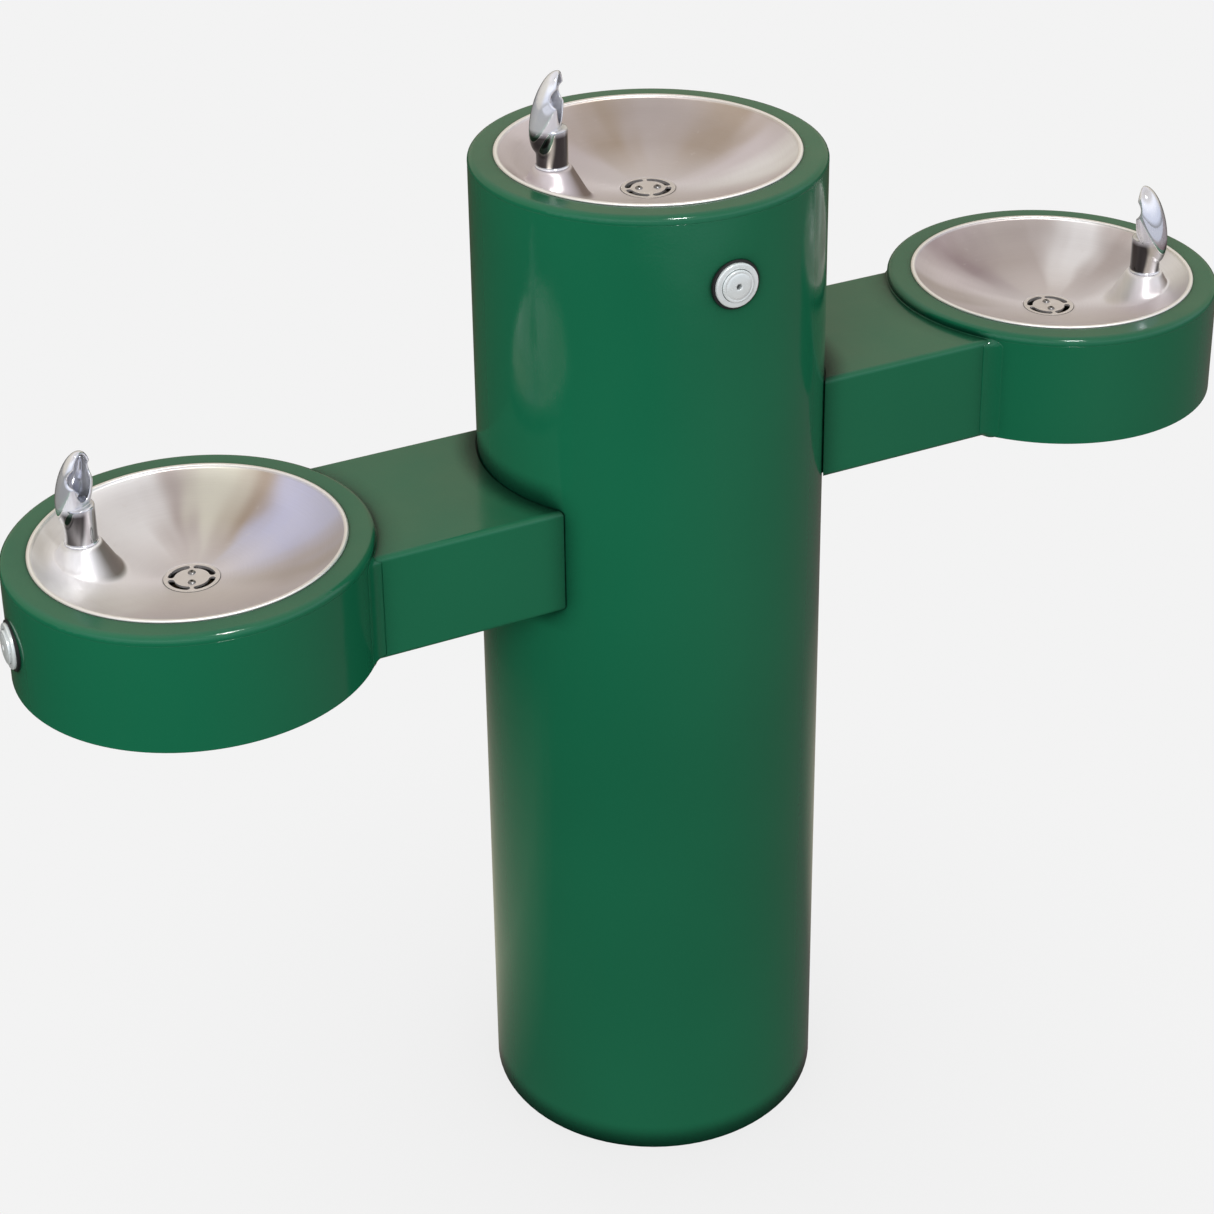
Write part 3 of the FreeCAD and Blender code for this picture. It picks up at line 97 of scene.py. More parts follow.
class Shader:
    """The node tree of a material or a world, with short ways to add and join nodes."""

    def __init__(self, owner, output="ShaderNodeOutputMaterial", space="Object"):
        owner.use_nodes = True
        self.owner = owner
        self.tree = owner.node_tree
        self.tree.nodes.clear()
        self.output = self.node(output)
        self.space = self.node("ShaderNodeTexCoord").outputs[space]

    def node(self, kind, **settings):
        made = self.tree.nodes.new(kind)
        for key, value in settings.items():
            setattr(made, key, value)
        return made

    def join(self, source, target):
        """Feeds a socket from another socket, or sets its value."""
        if isinstance(source, bpy.types.NodeSocket):
            self.tree.links.new(source, target)
        else:
            target.default_value = source

    def noise(self, scale, detail=3.0, roughness=0.5, vector=None):
        made = self.node("ShaderNodeTexNoise")
        self.join(vector or self.space, made.inputs["Vector"])
        made.inputs["Scale"].default_value = scale
        made.inputs["Detail"].default_value = detail
        made.inputs["Roughness"].default_value = roughness
        return made.outputs["Fac"]

    def remap(self, value, low, high, to_low, to_high):
        made = self.node("ShaderNodeMapRange", clamp=True)
        self.join(value, made.inputs["Value"])
        made.inputs["From Min"].default_value = low
        made.inputs["From Max"].default_value = high
        made.inputs["To Min"].default_value = to_low
        made.inputs["To Max"].default_value = to_high
        return made.outputs["Result"]

    def math(self, operation, first, second=0.0):
        made = self.node("ShaderNodeMath", operation=operation)
        self.join(first, made.inputs[0])
        self.join(second, made.inputs[1])
        return made.outputs[0]

    def add(self, first, second):
        return self.math("ADD", first, second)

    def times(self, first, second):
        return self.math("MULTIPLY", first, second)

    def length(self, x, y):
        return self.math("SQRT", self.add(self.times(x, x), self.times(y, y)))

    def mix(self, share, first, second):
        made = self.node("ShaderNodeMix", data_type="RGBA")
        self.join(share, made.inputs[0])
        self.join(first, made.inputs[6])
        self.join(second, made.inputs[7])
        return made.outputs[2]

    def stretch(self, scale):
        made = self.node("ShaderNodeMapping")
        self.join(self.space, made.inputs["Vector"])
        made.inputs["Scale"].default_value = scale
        return made.outputs["Vector"]

    def split(self, vector):
        made = self.node("ShaderNodeSeparateXYZ")
        self.join(vector, made.inputs[0])
        return made.outputs

    def combine(self, x, y, z):
        made = self.node("ShaderNodeCombineXYZ")
        for socket, value in zip(made.inputs, (x, y, z)):
            self.join(value, socket)
        return made.outputs[0]

    def ramp(self, value, stops):
        """A smooth run of colours along a value from 0 to 1."""
        made = self.node("ShaderNodeValToRGB")
        made.color_ramp.interpolation = "EASE"
        elements = made.color_ramp.elements
        while len(elements) < len(stops):
            elements.new(0.5)
        for element, (position, color) in zip(elements, stops):
            element.position = position
            element.color = rgb(*color)
        self.join(value, made.inputs[0])
        return made.outputs["Color"]

    def round_ramp(self, turn, stops):
        """Colours round an axis. A stop is (degrees from +X, colour); the last meets the first."""
        share = self.remap(turn, -math.pi, math.pi, 0.0, 1.0)
        return self.ramp(share, [((degrees + 180.0) / 360.0, color) for degrees, color in stops])

    def bump(self, height, distance, strength=1.0, before=None):
        made = self.node("ShaderNodeBump")
        made.inputs["Distance"].default_value = distance
        made.inputs["Strength"].default_value = strength
        self.join(height, made.inputs["Height"])
        if before is not None:
            self.join(before, made.inputs["Normal"])
        return made.outputs["Normal"]

    def geometry(self, output):
        return self.node("ShaderNodeNewGeometry").outputs[output]

    def up(self):
        """1 on level upward faces and 0 on walls."""
        return self.remap(self.split(self.geometry("Normal"))["Z"], 0.6, 1.0, 0.0, 1.0)

    def edge(self):
        """0 on flat faces and 1 on sharp outside edges."""
        return self.remap(self.geometry("Pointiness"), 0.52, 0.6, 0.0, 1.0)

    def openness(self, distance, samples=6):
        """1 on open faces, and less in corners and holes, out to a distance in metres."""
        made = self.node("ShaderNodeAmbientOcclusion", samples=samples)
        made.inputs["Distance"].default_value = distance
        return made.outputs["AO"]

    def glow(self, color):
        made = self.node("ShaderNodeEmission")
        self.join(color, made.inputs["Color"])
        return made.outputs[0]

    def blend(self, share, first, second):
        """A mix of two shaders."""
        made = self.node("ShaderNodeMixShader")
        for socket, value in zip(made.inputs, (share, first, second)):
            self.join(value, socket)
        return made.outputs[0]

    def end(self, shader):
        self.join(shader, self.output.inputs["Surface"])
        return self.owner

    def surface(self, **inputs):
        """Ends the tree in a principled shader."""
        made = self.node("ShaderNodeBsdfPrincipled")
        for key, value in inputs.items():
            self.join(value, made.inputs[key.replace("_", " ")])
        return self.end(made.outputs[0])


def rgb(red, green, blue):
    return (red, green, blue, 1.0)


def new_shader(name):
    return Shader(bpy.data.materials.new(name))


def powder_coat():
    """Gloss green powder coat: colour drift, orange peel, dust on level faces, painted shade in
    corners.
    """
    s = new_shader("green_coat")
    drift = s.remap(s.noise(3.0, 2.0), 0.3, 0.7, 0.0, 1.0)
    green = s.mix(drift, rgb(0.0070, 0.122, 0.058), rgb(0.0090, 0.142, 0.068))
    speck = s.remap(s.noise(900.0, 2.0), 0.58, 0.74, 0.0, 0.14)
    green = s.mix(speck, green, rgb(0.02, 0.20, 0.10))
    dust = s.times(s.up(), s.remap(s.noise(14.0, 5.0), 0.3, 0.75, 0.02, 0.12))
    green = s.mix(dust, green, rgb(0.20, 0.22, 0.12))
    # Painted shade: corners and gaps darken towards black and lose some of their shine.
    corner_shade = s.remap(s.openness(0.026, 4), 0.64, 0.96, 0.98, 0.0)
    green = s.mix(corner_shade, green, rgb(0.001, 0.010, 0.006))
    scuff = s.noise(60.0, 6.0, 0.7, s.stretch((1.0, 1.0, 0.25)))
    rough = s.remap(scuff, 0.35, 0.75, 0.08, 0.17)
    rough = s.add(rough, s.times(dust, 0.5))
    soft_edge = s.node("ShaderNodeBevel", samples=4)
    soft_edge.inputs["Radius"].default_value = 0.0009
    orange_peel = s.bump(s.noise(420.0, 2.0, 0.4), 0.00010, 0.5, soft_edge.outputs["Normal"])
    waves = s.bump(s.noise(38.0, 1.0, 0.3), 0.0009, 0.18, orange_peel)
    shine = s.math("SUBTRACT", 0.45, s.times(corner_shade, 0.4))
    return s.surface(Base_Color=green, Roughness=rough, IOR=1.5, Normal=waves,
                     Specular_IOR_Level=shine)


def spun_steel(station, glints, boss_turn):
    """Stainless sheet spun on a lathe. Fine rings run round the axis, and broad fans of light and
    shade run out from the middle. The side of the boss that looks along +X is in shade."""
    s = new_shader(f"spun_steel_{station}")
    place = s.split(s.space)
    radius = s.length(place["X"], place["Y"])
    turn = s.math("ARCTAN2", place["Y"], place["X"])
    rings = s.noise(1.0, 4.0, 0.75, s.combine(s.times(radius, 2600.0), turn, 0.0))
    wide_rings = s.noise(1.0, 2.0, 0.5, s.combine(s.times(radius, 240.0), turn, 3.0))
    spoke = s.combine(s.math("COSINE", turn), s.math("SINE", turn), s.times(radius, 4.0))
    streak = s.remap(s.noise(3.0, 1.0, 0.5, spoke), 0.3, 0.7, -0.12, 0.12)
    cloud = s.noise(16.0, 4.0, 0.6)
    fans = s.round_ramp(s.add(turn, streak), glints)
    tint = s.mix(s.remap(radius, 0.030, 0.085, 0.1, 1.0), rgb(0.82, 0.78, 0.79), fans)
    tint = s.mix(s.remap(cloud, 0.35, 0.75, 0.0, 0.25), tint, rgb(0.72, 0.68, 0.68))
    tint = s.mix(s.remap(rings, 0.3, 0.7, 0.0, 0.12), tint, rgb(0.40, 0.36, 0.34))
    spots = s.remap(s.noise(130.0, 3.0, 0.6), 0.66, 0.74, 0.0, 0.2)
    tint = s.mix(spots, tint, rgb(0.85, 0.82, 0.79))
    lean = s.split(s.geometry("Normal"))
    boss_x = BUBBLER_REACH * MM * math.cos(math.radians(boss_turn))
    boss_y = BUBBLER_REACH * MM * math.sin(math.radians(boss_turn))
    apart = s.length(s.math("SUBTRACT", place["X"], boss_x),
                     s.math("SUBTRACT", place["Y"], boss_y))
    on_boss = s.times(s.remap(apart, 0.034, 0.044, 1.0, 0.0),
                      s.remap(lean["Z"], 0.60, 0.85, 1.0, 0.0))
    shaded = s.remap(lean["X"], 0.10, 0.55, 0.0, 0.80)
    tint = s.mix(s.times(on_boss, shaded), tint, rgb(0.17, 0.12, 0.085))
    # Painted highlight: the bead round the rim is tinted almost white.
    bead_highlight = s.remap(radius, 0.1335, 0.1350, 0.0, 0.9)
    tint = s.mix(bead_highlight, tint, rgb(1.0, 0.98, 0.93))
    rough = s.add(s.remap(rings, 0.25, 0.75, 0.36, 0.48), s.remap(cloud, 0.3, 0.7, 0.0, 0.06))
    rough = s.add(rough, s.times(spots, 0.3))
    normal = s.bump(rings, 0.00005, 0.3)
    normal = s.bump(wide_rings, 0.0003, 0.2, normal)
    tangent = s.node("ShaderNodeTangent", direction_type="RADIAL", axis="Z").outputs[0]
    return s.surface(Base_Color=tint, Metallic=0.82, Roughness=rough, Normal=normal,
                     Anisotropic=0.65, Tangent=tangent)


def bubbler_chrome(station, stripes, bare):
    """Polished chrome. The collar carries upright light and dark stripes of painted reflection,
    faces seen edge-on get a painted dark reflection, and hollows get painted shade. The hood is
    clear, and a lower bare makes it milkier."""
    s = new_shader(f"bubbler_chrome_{station}")
    place = s.split(s.space)
    cloud = s.noise(45.0, 4.0, 0.6)
    tint = s.mix(s.remap(cloud, 0.3, 0.7, 0.0, 1.0), rgb(0.84, 0.86, 0.95), rgb(0.96, 0.97, 1.0))
    tint = s.mix(s.times(s.edge(), 0.35), tint, rgb(0.93, 0.93, 0.94))
    wobble = s.remap(s.noise(26.0, 1.0), 0.3, 0.7, -0.2, 0.2)
    turn = s.add(s.math("ARCTAN2", place["Y"], place["X"]), wobble)
    # Painted reflection: faces turned away from the eye darken, as chrome edges do.
    grazing = s.node("ShaderNodeLayerWeight")
    grazing.inputs["Blend"].default_value = 0.5
    grazing_dark_reflection = s.remap(grazing.outputs["Facing"], 0.66, 0.98, 0.0, 0.75)
    tint = s.mix(grazing_dark_reflection, tint, rgb(0.16, 0.18, 0.22))
    collar = s.times(s.remap(place["Z"], 0.0300, 0.0375, 1.0, 0.0),
                     s.remap(place["Z"], 0.0016, 0.0030, 0.0, 1.0))
    tint = s.mix(s.times(collar, 0.94), tint, s.round_ramp(turn, stripes))
    # Painted shade: hollows darken towards black.
    hollow = s.remap(s.openness(0.012), 0.15, 0.75, 0.92, 0.0)
    tint = s.mix(hollow, tint, rgb(0.03, 0.026, 0.03))
    rough = s.remap(s.noise(60.0, 5.0, 0.65), 0.3, 0.75, 0.03, 0.09)
    return s.surface(Base_Color=tint, Roughness=rough,
                     Metallic=s.remap(collar, 0.0, 1.0, bare, 0.97))


def metal(name, dark, light, rough_low, rough_high, grain=140.0, bump=0.00004, bare=1.0,
          depth=0.003):
    """A bare or plated metal with cloudy colour, fine grain and rubbed edges. Holes narrower than
    the depth, in metres, get painted shade."""
    s = new_shader(name)
    cloud = s.noise(45.0, 4.0, 0.6)
    tint = s.mix(s.remap(cloud, 0.3, 0.7, 0.0, 1.0), rgb(*dark), rgb(*light))
    tint = s.mix(s.times(s.edge(), 0.35), tint, rgb(0.93, 0.93, 0.94))
    # Painted shade: holes and hollows darken towards black.
    hollow = s.remap(s.openness(depth), 0.12, 0.60, 0.92, 0.0)
    tint = s.mix(hollow, tint, rgb(0.02, 0.02, 0.02))
    fine = s.noise(grain, 5.0, 0.65)
    rough = s.remap(fine, 0.3, 0.75, rough_low, rough_high)
    return s.surface(Base_Color=tint, Metallic=bare, Roughness=rough,
                     Normal=s.bump(fine, bump, 0.4))


def plain(name, dark, light, rough_low, rough_high):
    """A moulded, painted or rubber surface with mottled colour and a fine texture."""
    s = new_shader(name)
    cloud = s.noise(30.0, 4.0, 0.6)
    tint = s.mix(s.remap(cloud, 0.3, 0.7, 0.0, 1.0), rgb(*dark), rgb(*light))
    fine = s.noise(260.0, 4.0, 0.6)
    fleck = rgb(*[min(1.0, channel * 1.8) for channel in light])
    tint = s.mix(s.remap(fine, 0.6, 0.75, 0.0, 0.25), tint, fleck)
    rough = s.remap(fine, 0.3, 0.75, rough_low, rough_high)
    return s.surface(Base_Color=tint, Roughness=rough, Normal=s.bump(fine, 0.0001, 0.5))


PEARL, LAVENDER, SAND = (0.99, 0.99, 1.0), (0.66, 0.68, 0.90), (0.50, 0.41, 0.33)
CREAM, FAWN, BROWN = (0.84, 0.83, 0.72), (0.58, 0.52, 0.50), (0.43, 0.35, 0.37)
BLUSH, DARK_REFLECTION = (0.74, 0.68, 0.70), (0.035, 0.028, 0.024)
# Painted reflections, degrees and colour: light and shade fans round each bowl, stripes round each
# collar.
GLINTS = {
    "left": ((-180, PEARL), (-120, BLUSH), (-60, BLUSH), (-35, FAWN), (0, LAVENDER),
             (20, LAVENDER), (40, SAND), (60, CREAM), (78, FAWN), (100, PEARL), (140, PEARL),
             (180, PEARL)),
    "center": ((-180, BLUSH), (-60, BLUSH), (-30, PEARL), (-5, BLUSH), (20, SAND), (60, FAWN),
               (85, SAND), (120, BLUSH), (180, BLUSH)),
    "right": ((-180, BLUSH), (-60, BLUSH), (-20, PEARL), (18, FAWN), (34, PEARL), (46, PEARL),
              (64, FAWN), (85, FAWN), (115, BROWN), (140, BLUSH), (160, FAWN), (180, BLUSH)),
}
COLLAR_REFLECTIONS = {
    "left": ((-180, PEARL), (-158, DARK_REFLECTION), (-100, DARK_REFLECTION), (-78, PEARL), (-20, DARK_REFLECTION), (40, PEARL),
             (100, DARK_REFLECTION), (150, PEARL), (180, PEARL)),
    "center": ((-180, DARK_REFLECTION), (-140, DARK_REFLECTION), (-122, CREAM), (-104, DARK_REFLECTION), (-50, DARK_REFLECTION), (-20, CREAM),
               (40, DARK_REFLECTION), (80, CREAM), (140, DARK_REFLECTION), (180, DARK_REFLECTION)),
    "right": ((-180, DARK_REFLECTION), (-135, DARK_REFLECTION), (-118, CREAM), (-85, PEARL), (-60, DARK_REFLECTION), (0, CREAM),
              (40, DARK_REFLECTION), (80, CREAM), (140, DARK_REFLECTION), (180, DARK_REFLECTION)),
}
HOOD_BARE = {"left": 0.68, "center": 0.56, "right": 0.72}
BOWL_STEEL = {station: spun_steel(station, GLINTS[station], spec["bubbler"])
              for station, spec in STATIONS.items()}
BUBBLER_CHROME = {station: bubbler_chrome(station, COLLAR_REFLECTIONS[station], HOOD_BARE[station])
                  for station in STATIONS}

MATERIALS = {
    "green_coat": powder_coat(),
    "steel_bowl": BOWL_STEEL["center"],
    "steel_strainer": metal("steel_strainer", (0.74, 0.69, 0.68), (0.84, 0.80, 0.79),
                            0.3, 0.42, bare=0.82),
    "chrome": metal("chrome", (0.84, 0.84, 0.92), (0.93, 0.93, 0.98),
                    0.03, 0.09, 60.0, 0.000004, 0.9),
    "steel_fastener": metal("steel_fastener", (0.42, 0.42, 0.43), (0.62, 0.62, 0.63), 0.25, 0.45),
    "primed_steel": plain("primed_steel", (0.055, 0.06, 0.065), (0.085, 0.09, 0.095), 0.45, 0.65),
    "brass": metal("brass", (0.56, 0.40, 0.16), (0.72, 0.54, 0.26), 0.18, 0.38),
    "rubber": plain("rubber", (0.008, 0.008, 0.009), (0.018, 0.018, 0.018), 0.55, 0.8),
    "spring_steel": metal("spring_steel", (0.45, 0.45, 0.47), (0.60, 0.60, 0.62), 0.2, 0.35),
    "copper_tube": metal("copper_tube", (0.60, 0.27, 0.14), (0.80, 0.42, 0.25), 0.2, 0.42),
    "drain_pipe": plain("drain_pipe", (0.66, 0.66, 0.63), (0.76, 0.76, 0.73), 0.35, 0.5),
    "lever_grip": plain("lever_grip", (0.32, 0.015, 0.012), (0.45, 0.03, 0.02), 0.3, 0.45),
}
SATIN_CHROME = metal("satin_chrome", (0.80, 0.86, 0.87), (0.90, 0.95, 0.96),
                     0.20, 0.30, 300.0, 0.000004, 0.3, 0.006)
DARK_STEEL = metal("dark_steel", (0.10, 0.10, 0.10), (0.22, 0.21, 0.20), 0.25, 0.45)
# Painted shade: the drain bodies under the strainers are brass darkened almost to black.
SHADED_BRASS = metal("shaded_brass", (0.018, 0.013, 0.008), (0.05, 0.036, 0.02), 0.25, 0.5)
SLOT_OF = {part["node"]: part["material_slot"] for part in frame["record"]["subparts"]}


def paint(piece, slot, finish=None):
    """Gives a piece the finish of a record slot, or its own variant of it."""
    piece.data.materials.clear()
    piece.data.materials.append(finish or MATERIALS[slot])


VARIANTS = {f"{station}_drain_body": SHADED_BRASS for station in STATIONS}
VARIANTS["strainer_screws"] = DARK_STEEL
for name, piece in frame["nodes"].items():
    paint(piece, SLOT_OF[name], VARIANTS.get(name))


# ---------------------------------------------------------------- meshes


def new_piece(name, points, faces, slot, body, nodes=(), place=None, finish=None):
    """A finished piece that rides on a body and stands for some CAD nodes. Points are in mm."""
    mesh = bpy.data.meshes.new(name)
    mesh.from_pydata((np.asarray(points, float) * MM).tolist(), [], faces)
    mesh.validate()
    mesh.update()
    mesh.shade_smooth()
    piece = bpy.data.objects.new(name, mesh)
    scene.collection.objects.link(piece)
    if place is not None:
        piece.matrix_world = place
    paint(piece, slot, finish)
    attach(piece, body)
    if nodes:
        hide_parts(*nodes)
    return piece


def placed(x, y, z):
    """A place in the row frame, from a point in mm."""
    return Matrix.Translation(Vector((x, y, z)) * MM)


def turned(points, degrees):
    """Points turned about Z, so that the piece itself stays square to the row frame."""
    turn = math.radians(degrees)
    x, y, z = np.asarray(points, float).T
    return np.stack([x * math.cos(turn) - y * math.sin(turn),
                     x * math.sin(turn) + y * math.cos(turn), z], 1)


def ring_faces(rings, around, closed=True):
    """Quads between rings of points, each with the same number of points around."""
    faces = []
    for ring in range(rings if closed else rings - 1):
        for step in range(around):
            here, after = ring * around, (ring + 1) % rings * around
            following = (step + 1) % around
            faces.append((here + step, here + following, after + following, after + step))
    return faces


def rounded(profile, corners):
    """A profile whose numbered corners are replaced by short arcs. Corners: number to radius."""
    path = [np.array(point, float) for point in profile]
    made = []
    for number, point in enumerate(path):
        radius = corners.get(number)
        if not radius:
            made.append(point)
            continue
        before = path[number - 1] - point
        after = path[(number + 1) % len(path)] - point
        before_length, after_length = np.linalg.norm(before), np.linalg.norm(after)
        before, after = before / before_length, after / after_length
        half = math.acos(float(np.clip(before @ after, -1, 1))) / 2
        back = min(radius / math.tan(half), before_length * 0.49, after_length * 0.49)
        for share in np.linspace(0.0, 1.0, 6):
            curve = (1 - share) ** 2 * before * back + share ** 2 * after * back
            made.append(point + curve)
    return made


def lathe(name, profile, slot, body, nodes, spec, finish=None, around=96):
    """A closed profile of (radius, reach) turned about a valve's axis. Radius 0 is a pole."""
    turns = np.linspace(0, 2 * math.pi, around, endpoint=False)
    points, rings = [], []
    for radius, reach in profile:
        start = len(points)
        count = around if radius > 0 else 1
        for turn in turns[:count]:
            points.append((reach, radius * math.cos(turn), radius * math.sin(turn)))
        rings.append([start + step % count for step in range(around + 1)])
    faces = []
    for ring, after in zip(rings, rings[1:] + rings[:1]):
        for step in range(around):
            corners = (ring[step], ring[step + 1], after[step + 1], after[step])
            face = list(dict.fromkeys(corners))
            if len(face) > 2:
                faces.append(face)
    points = turned(points, spec["button"])
    place = placed(spec["x"], 0, spec["button_z"])
    return new_piece(name, points, faces, slot, body, nodes, place=place, finish=finish)


def surface_net(field, low, step):
    """Points and quads of a field's zero level, with one point in each cell that it crosses."""
    size = np.array(field.shape) - 1
    corner = {}
    for i in (0, 1):
        for j in (0, 1):
            for k in (0, 1):
                corner[i, j, k] = field[i:size[0] + i, j:size[1] + j, k:size[2] + k]
    inside = sum((value < 0).astype(int) for value in corner.values())
    crossed = (inside > 0) & (inside < 8)
    total = np.zeros(crossed.shape + (3,))
    count = np.zeros(crossed.shape)
    for axis in range(3):
        others = [a for a in range(3) if a != axis]
        for first in (0, 1):
            for second in (0, 1):
                start = [0, 0, 0]
                start[others[0]], start[others[1]] = first, second
                end = list(start)
                end[axis] = 1
                a, b = corner[tuple(start)], corner[tuple(end)]
                cut = (a < 0) != (b < 0)
                share = np.where(cut, a / np.where(cut, a - b, 1.0), 0.0)
                for direction in range(3):
                    offset = share if direction == axis else start[direction]
                    total[..., direction] += np.where(cut, offset, 0.0)
                count += cut
    cells = np.argwhere(crossed)
    points = (cells + total[crossed] / count[crossed][:, None]) * step + np.array(low)
    number = -np.ones(crossed.shape, int)
    number[crossed] = np.arange(len(cells))
    faces = []
    for axis in range(3):
        others = [a for a in range(3) if a != axis]
        a = np.take(field, range(0, field.shape[axis] - 1), axis)
        b = np.take(field, range(1, field.shape[axis]), axis)
        where = np.argwhere((a < 0) != (b < 0))
        where = where[(where[:, others] > 0).all(1) & (where[:, others] < size[others]).all(1)]
        rising = (a < 0)[tuple(where.T)]
        quad = []
        for first, second in ((1, 1), (0, 1), (0, 0), (1, 0)):
            cell = where.copy()
            cell[:, others[0]] -= first
            cell[:, others[1]] -= second
            quad.append(number[tuple(cell.T)])
        quad = np.stack(quad, 1)
        flip = rising if axis == 1 else ~rising
        quad[flip] = quad[flip][:, ::-1]
        faces.append(quad)
    return points, np.concatenate(faces).tolist()


# ---------------------------------------------------------------- bowls

# Radii from the bowl's axis and heights from its rim, in mm.
DISH_CURVE = 278.0
DISH_DEPTH = 38.0
DISH_FOOT = 25.0
BOWL_SHEET = 1.5
DRAIN_LIP = ((21.8, -41.0), (22.0, -40.3), (22.5, -40.0), (23.6, -40.0), (24.4, -39.9),
             (24.75, -39.6), (24.9, -39.1), (25.1, -38.5), (25.6, -38.08))
DRAIN_LIP_BELOW = ((26.6, -39.6), (26.4, -40.0), (26.2, -41.2), (25.8, -41.5), (22.0, -41.5))
FLOOR_START = 26.4
WALL_FOOT, WALL_TOP = 108.0, 134.2
BEAD_MIDDLE, BEAD_RADIUS = 136.4, 2.2
BEAD_INSIDE = ((136.0, 0.0), (135.7, -0.3))
WALL_CORNER_BELOW, FLOOR_END_BELOW = (127.5, -10.2), 124.0
BOSS_TOP, BOSS_SLOPE, BOSS_DROP = 17.0, 42.0 / 24.0, 1.0


def soft_max(a, b, blend):
    """The larger of two heights, with their meeting line filled by a fillet."""
    share = np.maximum(blend - np.abs(a - b), 0.0) / blend
    return np.maximum(a, b) + share * share * blend / 4


def soft_min(a, b, blend):
    return -soft_max(-a, -b, blend)


def boss_height(x, y, thick):
    """The raised cone under the bubbler, with its level top, at a depth under its outside."""
    apart = np.hypot(x - BUBBLER_REACH, y)
    cone = -BOSS_DROP - (apart - BOSS_TOP) * BOSS_SLOPE - thick * math.hypot(1, BOSS_SLOPE)
    return soft_min(cone, np.full_like(cone, -BOSS_DROP - thick), 3.0)


def bowl_points(turns):
    """Rings of points from the drain hole up the dish and over the bead, and back underneath."""
    centre = math.sqrt(DISH_CURVE ** 2 - DISH_FOOT ** 2) - DISH_DEPTH
    rings = []

    def dish(radius, thick):
        return centre - math.sqrt((DISH_CURVE + thick) ** 2 - radius ** 2)

    def ring(radius, height):
        rings.append(np.stack([radius * np.cos(turns), radius * np.sin(turns),
                               np.broadcast_to(height, turns.shape)], 1))

    def boss_ring(radius, height, thick, fillet):
        """A level ring, lifted where the boss stands higher."""
        x, y = radius * np.cos(turns), radius * np.sin(turns)
        ring(radius, soft_max(np.full_like(x, height), boss_height(x, y, thick), fillet))

    for radius, height in DRAIN_LIP:
        ring(radius, height)
    for radius in np.linspace(FLOOR_START, WALL_FOOT, 68):
        boss_ring(radius, dish(radius, 0.0), 0.0, 7.0)
    wall = WALL_TOP - WALL_FOOT
    foot_height = dish(WALL_FOOT, 0.0)
    foot_slope = WALL_FOOT / (centre - foot_height)
    curve = (-foot_height / wall - foot_slope) / wall
    for run in np.linspace(0.0, wall, 22)[1:]:
        boss_ring(WALL_FOOT + run, foot_height + foot_slope * run + curve * run ** 2, 0.0, 3.0)
    for share in np.linspace(0, 1, 13)[1:]:
        turn = math.pi * (1 - share)
        ring(BEAD_MIDDLE + BEAD_RADIUS * math.cos(turn), BEAD_RADIUS * math.sin(turn))
    for radius, height in BEAD_INSIDE:
        ring(radius, height)
    wall_below = [BEAD_INSIDE[-1], WALL_CORNER_BELOW,
                  (FLOOR_END_BELOW, dish(FLOOR_END_BELOW, BOWL_SHEET))]
    for radius, height in rounded(wall_below, {1: 3.0})[1:-1]:
        boss_ring(radius, height, BOWL_SHEET, 2.0)
    for radius in np.linspace(FLOOR_END_BELOW, 28.0, 60):
        boss_ring(radius, dish(radius, BOWL_SHEET), BOWL_SHEET, 7.0)
    for radius, height in DRAIN_LIP_BELOW:
        ring(radius, height)
    return rings


def bowls():
    around = 400
    even = np.linspace(0, 2 * math.pi, around, endpoint=False)
    closer_at_boss = even - 0.62 * np.sin(even)
    rings = bowl_points(closer_at_boss)
    points = np.concatenate(rings)
    faces = ring_faces(len(rings), around)
    for station, spec in STATIONS.items():
        new_piece(f"{station}_bowl_skin", turned(points, spec["bubbler"]), faces, "steel_bowl",
                  ROOT, [f"{station}_bowl"], place=placed(spec["x"], 0, spec["rim"]),
                  finish=BOWL_STEEL[station])


bowls()


# ---------------------------------------------------------------- bubblers

# In mm from the top of the bowl's boss, with X the way the hood faces.
HOOD_CENTRE = np.array((-2.5, 0.0, 50.0))
HOOD_HALF = np.array((15.0, 17.3, 40.0))
HOOD_LEAN = math.radians(14.5)
HOOD_WALL = 3.0
FACE_REACH = 8.5
NOTCH_CENTRE, NOTCH_RADIUS = (12.5, 66.5), 9.0
MOUND_CENTRE, MOUND_HALF = (-9.2, 0.0, 24.0), (10.5, 12.0, 12.5)
NET_LOW, NET_HIGH = np.array((-26.0, -21.0, -44.0)), np.array((22.0, 21.0, 93.0))
NET_STEP = 0.65


def leaning(points):
    """Points in the hood's own leaning frame."""
    x, y, z = (points[..., axis] - HOOD_CENTRE[axis] for axis in range(3))
    return (x * math.cos(HOOD_LEAN) - z * math.sin(HOOD_LEAN), y,
            x * math.sin(HOOD_LEAN) + z * math.cos(HOOD_LEAN))


def egg(spot, half):
    """Distance, close to true near the surface, to an ellipsoid round the origin."""
    scaled = np.sqrt(sum((value / reach) ** 2 for value, reach in zip(spot, half))) + 1e-9
    steep = np.sqrt(sum((value / reach ** 2) ** 2 for value, reach in zip(spot, half))) + 1e-9
    return scaled * (scaled - 1) / steep


def post(points, radius, low, high, edge):
    """Signed distance to an upright cylinder with rounded edges."""
    out = np.hypot(points[..., 0], points[..., 1]) - (radius - edge)
    rise = np.abs(points[..., 2] - (low + high) / 2) - ((high - low) / 2 - edge)
    outside = np.hypot(np.maximum(out, 0), np.maximum(rise, 0))
    return outside + np.minimum(np.maximum(out, rise), 0) - edge


